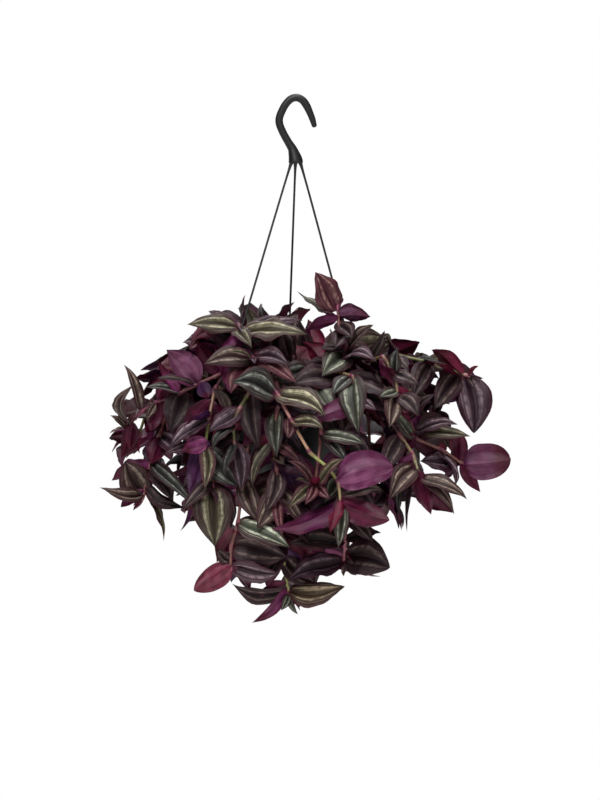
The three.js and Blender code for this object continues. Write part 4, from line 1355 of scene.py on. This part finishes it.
# The hook's middle line from its nose to the hub: x, z and radius. The nose is rounded by two
# more rings: how far past the line's start, and their radius.
HOOK_LINE = (
    (17.5, -24.5, 2.6), (15.4, -17.5, 3.2), (12.6, -10.5, 3.5), (9.6, -4.2, 3.9), (5.6, 1.2, 3.9),
    (0, 3.9, 3.9), (-6, 2.6, 3.9), (-11.2, -2.4, 3.9), (-15, -9, 3.9), (-17.8, -16.5, 3.9),
    (-17.6, -23, 3.9), (-14, -31.8, 3.9), (-9, -40.8, 4), (-4.9, -47.5, 4.6), (-3, -53, 5.8),
    (-1.7, -58, 6.9), (HUB_X, -61, 7.3), (HUB_X, -62.4, 6.6),
)
HOOK_STEPS = 5
HOOK_TURNS = 20
NOSE = ((1.7, 0.9), (1.2, 1.9))
STRAP_ROOT = (4.4, -60)
STRAP_ROOT_RADIUS = 2.8
STRAP_BULGE = 0.8
STRAP_END_HEIGHT = 3.5
STRAP_STEPS = 40
STRAP_SIDES = 12
STRAP_TAPER = 45
CLIP_ROUNDING = 0.35
CLIP_PROFILE = (
    (0, -8.6), (1.3, -8.6), (3.3, -2.8), (1.9, -2.8), (1.9, 0.3), (3.6, 0.3), (3.6, 2), (1.7, 5), (0, 5),
)


def smooth(rows, steps):
    """A curve through rows of numbers, with the same number of steps between each two."""
    rows = np.array(rows, dtype=float)
    out = []
    for i in range(len(rows) - 1):
        a, b, c, d = (rows[min(max(k, 0), len(rows) - 1)] for k in (i - 1, i, i + 1, i + 2))
        for step in range(steps):
            u = step / steps
            out.append(0.5 * ((2 * b) + (c - a) * u + (2 * a - 5 * b + 4 * c - d) * u ** 2
                              + (3 * b - a - 3 * c + d) * u ** 3))
    out.append(rows[-1])
    return out


def make_hanger(material):
    body = Body("hanger_moulding", [material])
    stations = [(vec(x, 0, z), radius) for x, z, radius in smooth(HOOK_LINE, HOOK_STEPS)]
    first, second = stations[0][0], stations[1][0]
    nose = [(first + unit(first - second) * past, radius) for past, radius in NOSE]
    points, faces, _ = tube(nose + stations, HOOK_TURNS)
    body.add(points, faces)
    for turn in STRAP_TURNS:
        seat = around(LUG_CIRCLE, turn, RIM_Z)
        root = around(STRAP_ROOT[0], turn, STRAP_ROOT[1]) + vec(HUB_X - POT_X, 0, 0)
        end = seat + vec(0, 0, STRAP_END_HEIGHT)
        outward = around(1, turn, 0) - around(0, turn, 0)
        stations = []
        for i in range(STRAP_STEPS + 1):
            t = (i / STRAP_STEPS) ** 1.4
            bulge = STRAP_BULGE * math.sin(math.pi * math.sqrt(t)) * (1 - t)
            radius = STRAP_RADIUS + (STRAP_ROOT_RADIUS - STRAP_RADIUS) * math.exp(-t * STRAP_TAPER)
            stations.append((root + (end - root) * t + outward * bulge, radius))
        points, faces, _ = tube(stations, STRAP_SIDES)
        body.add(points, faces)
        body.add(*lathe(rounded(CLIP_PROFILE, CLIP_ROUNDING), HOLE_TURNS, seat))
    body.make("hanger_plastic", "hanger")


# Materials


class Graph:
    """Short calls for the nodes of one material."""

    def __init__(self, name):
        self.material = bpy.data.materials.new(name)
        self.material.use_nodes = True
        self.tree = self.material.node_tree
        self.shader = self.tree.nodes["Principled BSDF"]

    def put(self, socket, value):
        if isinstance(value, bpy.types.NodeSocket):
            self.tree.links.new(value, socket)
        elif isinstance(value, (tuple, list, np.ndarray)):
            parts = tuple(float(v) for v in value)
            socket.default_value = parts + (1,) if socket.type == "RGBA" and len(parts) == 3 else parts
        else:
            socket.default_value = value

    def set(self, **values):
        for name, value in values.items():
            self.put(self.shader.inputs[name.replace("_", " ")], value)

    def node(self, kind, inputs, output, **settings):
        """The output of a new node with these inputs and settings."""
        node = self.tree.nodes.new("ShaderNode" + kind)
        for name, value in settings.items():
            setattr(node, name, value)
        for socket, value in inputs.items():
            self.put(node.inputs[socket], value)
        return node.outputs[output]

    def attribute(self, name, output="Color"):
        return self.node("Attribute", {}, output, attribute_name=name)

    def place(self):
        """A leaf's or stem's own directions and its seed, from the place attribute."""
        node = self.tree.nodes.new("ShaderNodeSeparateXYZ")
        self.put(node.inputs[0], self.attribute("place", "Vector"))
        return tuple(node.outputs)

    def math(self, operation, a, b=0.0):
        return self.node("Math", {0: a, 1: b}, 0, operation=operation)

    def times(self, a, b):
        return self.math("MULTIPLY", a, b)

    def plus(self, a, b):
        return self.math("ADD", a, b)

    def minus(self, a, b):
        return self.math("SUBTRACT", a, b)

    def combine(self, x, y, z):
        return self.node("CombineXYZ", {0: x, 1: y, 2: z}, 0)

    def ramp(self, value, low, high, start=0.0, end=1.0):
        """A smooth step from start to end as value goes from low to high."""
        inputs = dict(enumerate((value, low, high, start, end)))
        return self.node("MapRange", inputs, 0, interpolation_type="SMOOTHSTEP")

    def mix(self, share, a, b, blend="MIX"):
        return self.node("Mix", {0: share, 6: a, 7: b}, 2, data_type="RGBA", blend_type=blend)

    def shade(self, colour, light):
        """A colour made lighter or darker by a factor."""
        return self.mix(1.0, colour, self.combine(light, light, light), "MULTIPLY")

    def noise(self, vector, scale, detail=3.0, rough=0.5):
        inputs = {"Vector": vector, "Scale": scale, "Detail": detail, "Roughness": rough}
        return self.node("TexNoise", inputs, "Fac")

    def grain(self, scale, detail=2.0, rough=0.5):
        """Noise fixed to the object, with its scale per metre."""
        return self.noise(self.node("TexCoord", {}, "Object"), scale, detail, rough)

    def bump(self, height, strength, distance):
        return self.node("Bump", {"Strength": strength, "Distance": distance, "Height": height}, "Normal")


def leaf_streaks(graph, across, along, seed, fine):
    """Fine lengthwise streaks that run from the base to the tip."""
    times = graph.times
    lines = graph.combine(times(across, fine), times(along, 1.6), times(seed, 60))
    return graph.noise(lines, 1.0, 3.0, 0.6)


def leaf_top_material():
    """The striped upper face: a dusky middle, a soft silver band at half width that fades
    inwards, and a dark margin with a wine rim."""
    graph = Graph("leaf_top")
    times, ramp = graph.times, graph.ramp
    along, across, seed = graph.place()
    span = graph.math("ABSOLUTE", across)
    turned = times(seed, 9)
    wander = graph.noise(graph.combine(times(along, 3), turned, across), 2.2, 2.0)
    shifted = graph.plus(span, times(graph.minus(wander, 0.5), 0.2))
    streaks = leaf_streaks(graph, across, along, seed, 15)
    fine = leaf_streaks(graph, across, along, seed, 34)
    patches = graph.noise(graph.combine(times(along, 4), across, turned), 2.6, 4.0)
    mottle = graph.grain(900)
    ends = times(ramp(along, 0.02, 0.2), ramp(along, 0.8, 0.99, 1.0, 0.2))
    band = times(graph.math("POWER", ramp(shifted, 0.08, 0.46), 1.6), ramp(shifted, 0.46, 0.6, 1.0, 0.0))
    band = times(band, ramp(streaks, 0.34, 0.62, 0.22, 1.0))
    band = times(band, ramp(patches, 0.32, 0.6, 0.35, 1.0))
    band = times(band, ramp(graph.grain(1500), 0.36, 0.6, 0.72, 1.1))
    second = times(ramp(shifted, 0.6, 0.7), ramp(shifted, 0.74, 0.88, 1.0, 0.0))
    second = times(second, ramp(streaks, 0.45, 0.7, 0.0, 0.32))
    crest = times(ramp(shifted, 0.36, 0.43), ramp(shifted, 0.46, 0.53, 1.0, 0.0))
    crest = times(crest, ramp(patches, 0.42, 0.6, 0.0, 0.55))
    veil = ramp(fine, 0.45, 0.75, 0.0, 0.17)
    colour = graph.mix(ramp(shifted, 0.44, 0.6), graph.attribute("centre"), graph.attribute("margin"))
    for silver in (veil, band, crest, second):
        colour = graph.mix(times(silver, ends), colour, graph.attribute("band"))
    midrib = times(ramp(span, 0.015, 0.05, 1.0, 0.0), 0.35)
    rim = times(ramp(span, 0.94, 0.99), 0.7)
    base = ramp(along, 0.0, 0.16, 0.5, 0.0)
    veins = ramp(fine, 0.35, 0.6, 0.35, 0.0)
    for share, code in ((midrib, "24121a"), (rim, "54182f"), (base, "5a2733"), (veins, "32101e")):
        colour = graph.mix(share, colour, linear(code))
    colour = graph.shade(colour, ramp(fine, 0.3, 0.7, 0.8, 1.2))
    relief = graph.plus(times(fine, 0.8), times(mottle, 0.25))
    graph.set(Base_Color=colour, Roughness=ramp(mottle, 0.3, 0.7, 0.4, 0.54),
              Normal=graph.bump(relief, 0.8, 0.0007), Specular_IOR_Level=0.24)
    return graph.material


def leaf_under_material():
    """The magenta underside, with broad paler bands, fine veins and a dark red flush at the tip
    that some leaves have more of."""
    graph = Graph("leaf_underside")
    times, ramp = graph.times, graph.ramp
    pale = graph.attribute("pale")
    along, across, seed = graph.place()
    span = graph.math("ABSOLUTE", across)
    streaks = leaf_streaks(graph, across, along, seed, 13)
    fine = leaf_streaks(graph, across, along, seed, 36)
    blotch = graph.noise(graph.combine(times(along, 2), across, seed), 2.6, 4.0)
    band = times(ramp(span, 0.12, 0.4), ramp(span, 0.5, 0.64, 1.0, 0.0))
    band = times(band, ramp(streaks, 0.25, 0.65, 0.35, 0.9))
    colour = graph.mix(band, graph.attribute("field"), pale)
    colour = graph.mix(ramp(blotch, 0.45, 0.7, 0.0, 0.6), colour, pale)
    colour = graph.shade(colour, ramp(fine, 0.3, 0.7, 0.76, 1.24))
    colour = graph.mix(times(ramp(span, 0.02, 0.07, 1.0, 0.0), 0.35), colour, pale)
    reach = graph.minus(along, times(seed, 0.12))
    flush = times(ramp(reach, 0.4, 0.62), ramp(seed, 0.1, 0.9, 0.15, 0.85))
    colour = graph.mix(flush, colour, linear("44091d"))
    colour = graph.shade(colour, ramp(blotch, 0.35, 0.65, 0.84, 1.12))
    relief = graph.plus(times(fine, 0.8), times(blotch, 0.4))
    graph.set(Base_Color=colour, Roughness=ramp(fine, 0.3, 0.7, 0.36, 0.5),
              Normal=graph.bump(relief, 0.5, 0.0006), Specular_IOR_Level=0.24)
    return graph.material


def stem_material():
    """The stem: green to tan between the joints and pink at them, with papery sheaths."""
    graph = Graph("stem_skin")
    near, sheath, _ = graph.place()
    flecks = graph.grain(700, 3.0, 0.6)
    colour = graph.mix(graph.ramp(near, 0.1, 0.8), graph.attribute("field"), graph.attribute("pale"))
    colour = graph.mix(graph.times(sheath, 0.45), colour, linear("7a3f52"))
    colour = graph.shade(colour, graph.ramp(flecks, 0.35, 0.65, 0.78, 1.15))
    graph.set(Base_Color=colour, Roughness=graph.ramp(flecks, 0.3, 0.7, 0.4, 0.55),
              Normal=graph.bump(flecks, 0.25, 0.0004))
    return graph.material


def plastic_material(name, code, rough):
    """Moulded plastic with a faint grain."""
    graph = Graph(name)
    cloud = graph.grain(40, 3.0)
    colour = graph.mix(graph.ramp(cloud, 0.3, 0.7), linear(code) * 0.8, linear(code) * 1.25)
    graph.set(Base_Color=colour, Roughness=graph.ramp(cloud, 0.3, 0.7, rough - 0.05, rough + 0.07),
              Normal=graph.bump(graph.grain(1600), 0.12, 0.0003))
    return graph.material


def soil_material():
    """Dark crumbly soil with a few pale specks."""
    graph = Graph("potting_soil")
    lumps = graph.grain(260, 6.0, 0.65)
    colour = graph.mix(graph.ramp(lumps, 0.35, 0.7), linear("1a120d"), linear("4a3626"))
    colour = graph.mix(graph.ramp(graph.grain(900), 0.66, 0.72), colour, linear("8a7a62"))
    graph.set(Base_Color=colour, Roughness=0.95, Normal=graph.bump(lumps, 0.9, 0.0015))
    return graph.material


# The whole plant

make_pot(plastic_material("pot_black_plastic", "15171a", 0.45))
make_soil(soil_material(), random.Random(SEED))
make_hanger(plastic_material("hanger_black_plastic", "0d0e10", 0.5))

stems = [placed_stem(name) for name in PLACED_STEMS]
stems += [ruled_stem(habit, turn, i + 1) for i, (habit, turn) in enumerate(RULED_STEMS)]
crowd = Crowd()
for stem in stems:
    settle(stem)
    for leaf in stem["leaves"]:
        crowd.add(crowd.samples(leaf), True)
        if leaf.get("placed"):
            crowd.show(crowd.samples(leaf, 2))
    line = [stem["foot"]] + stem["joints"]
    for i, (start, end) in enumerate(zip(line, line[1:])):
        steps = max(2, int(np.linalg.norm(end - start) / 2))
        points = np.array([start + (end - start) * k / steps for k in range(1, steps)])
        crowd.add(points[::2], True)
        if stem["name"] == SHOWN_STEM and i >= SHOWN_FROM:
            crowd.show(points)

for name, at, blades in SPRIGS:
    stem = next(s for s in stems if s["name"] == name)
    for x, y, z, width, way, tone in blades:
        leaf = {"base": vec(*at), "tip": vec(x, y, z), "face": look(way), "width": width,
                "bow": SPRIG_BOW, "fold": SPRIG_FOLD, "tone": tone, "placed": True}
        stem["leaves"].append(leaf)
        crowd.add(crowd.samples(leaf), True)
        crowd.show(crowd.samples(leaf, 2))

fill_rng = random.Random(SEED + 1)
for stem in stems:
    stem["added"] = end_buds(stem, crowd, fill_rng)
for sizes, step, tries, outwards in FILLS:
    for stem in stems:
        stem["added"] += added_leaves(stem, crowd, fill_rng, step, tries, sizes, outwards)

look_rng = random.Random(SEED + 2)
foliage_materials = [leaf_top_material(), leaf_under_material(), stem_material()]
for stem in stems:
    stem["body"] = Body(stem["name"] + "_live", foliage_materials)
    grow_stem(stem["body"], stem, look_rng)
    for leaf in stem["leaves"] + stem["added"]:
        draw_leaf(leaf, look_rng)
clear_placed_leaves(stems)
for stem in stems:
    for leaf in stem["leaves"] + stem["added"]:
        stem["body"].add(leaf["points"], LEAF_FACES, LEAF_KINDS, leaf["places"], leaf["paints"])
    stem["body"].make("foliage", stem["name"])

# The stage, the lights and the camera

VIEW_MIDDLE = (3, -90, -301.5)
CAMERA_BACK = 9000
FRAME_HEIGHT = 800
SENSOR = 36
# The stage and the lights in metres
FAR_CLIP = 60
SURROUND_RADIUS = 20
FLOOR_Z = -0.96
FLOOR_RADIUS = 3.2
HAZE_ABOVE = 0.002
HAZE_FROM_TO = (0.7, 2.6)
SURROUND_LIGHT = 0.12
# The lights: name, place, size and power
LIGHTS = (
    ("key", (-0.7, -2.0, 1.7), 1.1, 62), ("fill", (1.9, -2.4, 0.2), 2.2, 14),
    ("top", (0.2, 0.2, 2.0), 1.4, 44), ("back", (-0.6, 2.4, 0.6), 2.0, 26),
)


def area_light(name, at, size, power):
    data = bpy.data.lights.new(name, "AREA")
    data.energy = power
    data.size = size
    light = new_object(name, data)
    light.location = at
    aim = Vector(VIEW_MIDDLE) * MM - light.location
    light.rotation_euler = aim.to_track_quat("-Z", "Y").to_euler()


def add_stage(name, material, z, make, **sizes):
    """A thing of the stage, made by one of the mesh tools."""
    mesh = bpy.data.meshes.new(name)
    shape = bmesh.new()
    make(shape, **sizes)
    shape.to_mesh(mesh)
    shape.free()
    mesh.materials.append(material)
    thing = new_object(name, mesh)
    thing.location = (0, 0, z)
    return thing


def show_to_camera_only(thing):
    for rays in ("diffuse", "glossy", "transmission", "volume_scatter", "shadow"):
        setattr(thing, "visible_" + rays, False)


def make_stage():
    """A white surround that only the camera sees, and a pale floor that fades into it."""
    graph = Graph("surround_white")
    graph.tree.nodes.remove(graph.shader)
    glow = graph.node("Emission", {"Strength": 1.0}, 0)
    graph.put(graph.tree.nodes["Material Output"].inputs["Surface"], glow)
    ball = dict(u_segments=32, v_segments=16, radius=SURROUND_RADIUS)
    show_to_camera_only(add_stage("surround", graph.material, 0, bmesh.ops.create_uvsphere, **ball))
    disc = dict(cap_ends=True, segments=96, radius=FLOOR_RADIUS)
    graph = Graph("floor_pale")
    pale = graph.mix(graph.grain(1.5), linear("e9e7e3"), linear("f4f3f0"))
    graph.set(Base_Color=pale, Roughness=0.7, Emission_Color=pale, Emission_Strength=0.22)
    add_stage("floor", graph.material, FLOOR_Z, bmesh.ops.create_circle, **disc)
    graph = Graph("floor_haze")
    centre = graph.node("TexCoord", {}, "Object")
    reach = graph.node("VectorMath", {0: centre}, "Value", operation="LENGTH")
    graph.set(Base_Color=(0, 0, 0), Roughness=1.0, Emission_Color=(1, 1, 1), Emission_Strength=1.0,
              Alpha=graph.ramp(reach, *HAZE_FROM_TO), Specular_IOR_Level=0.0)
    haze = add_stage("floor_haze", graph.material, FLOOR_Z + HAZE_ABOVE, bmesh.ops.create_circle, **disc)
    show_to_camera_only(haze)


make_stage()
world = bpy.context.scene.world or bpy.data.worlds.new("studio")
bpy.context.scene.world = world
world.use_nodes = True
world.node_tree.nodes["Background"].inputs["Color"].default_value = (1, 1, 1, 1)
world.node_tree.nodes["Background"].inputs["Strength"].default_value = SURROUND_LIGHT
for light in LIGHTS:
    area_light(*light)
bpy.context.scene.view_settings.view_transform = "Standard"

camera = new_object("camera", bpy.data.cameras.new("camera"))
camera.data.sensor_width = SENSOR
camera.data.lens = SENSOR * CAMERA_BACK / FRAME_HEIGHT
camera.data.clip_end = FAR_CLIP
camera.location = Vector(VIEW_MIDDLE) * MM - Vector((0, CAMERA_BACK * MM, 0))
camera.rotation_euler = (math.radians(90), 0, 0)
bpy.context.scene.camera = camera
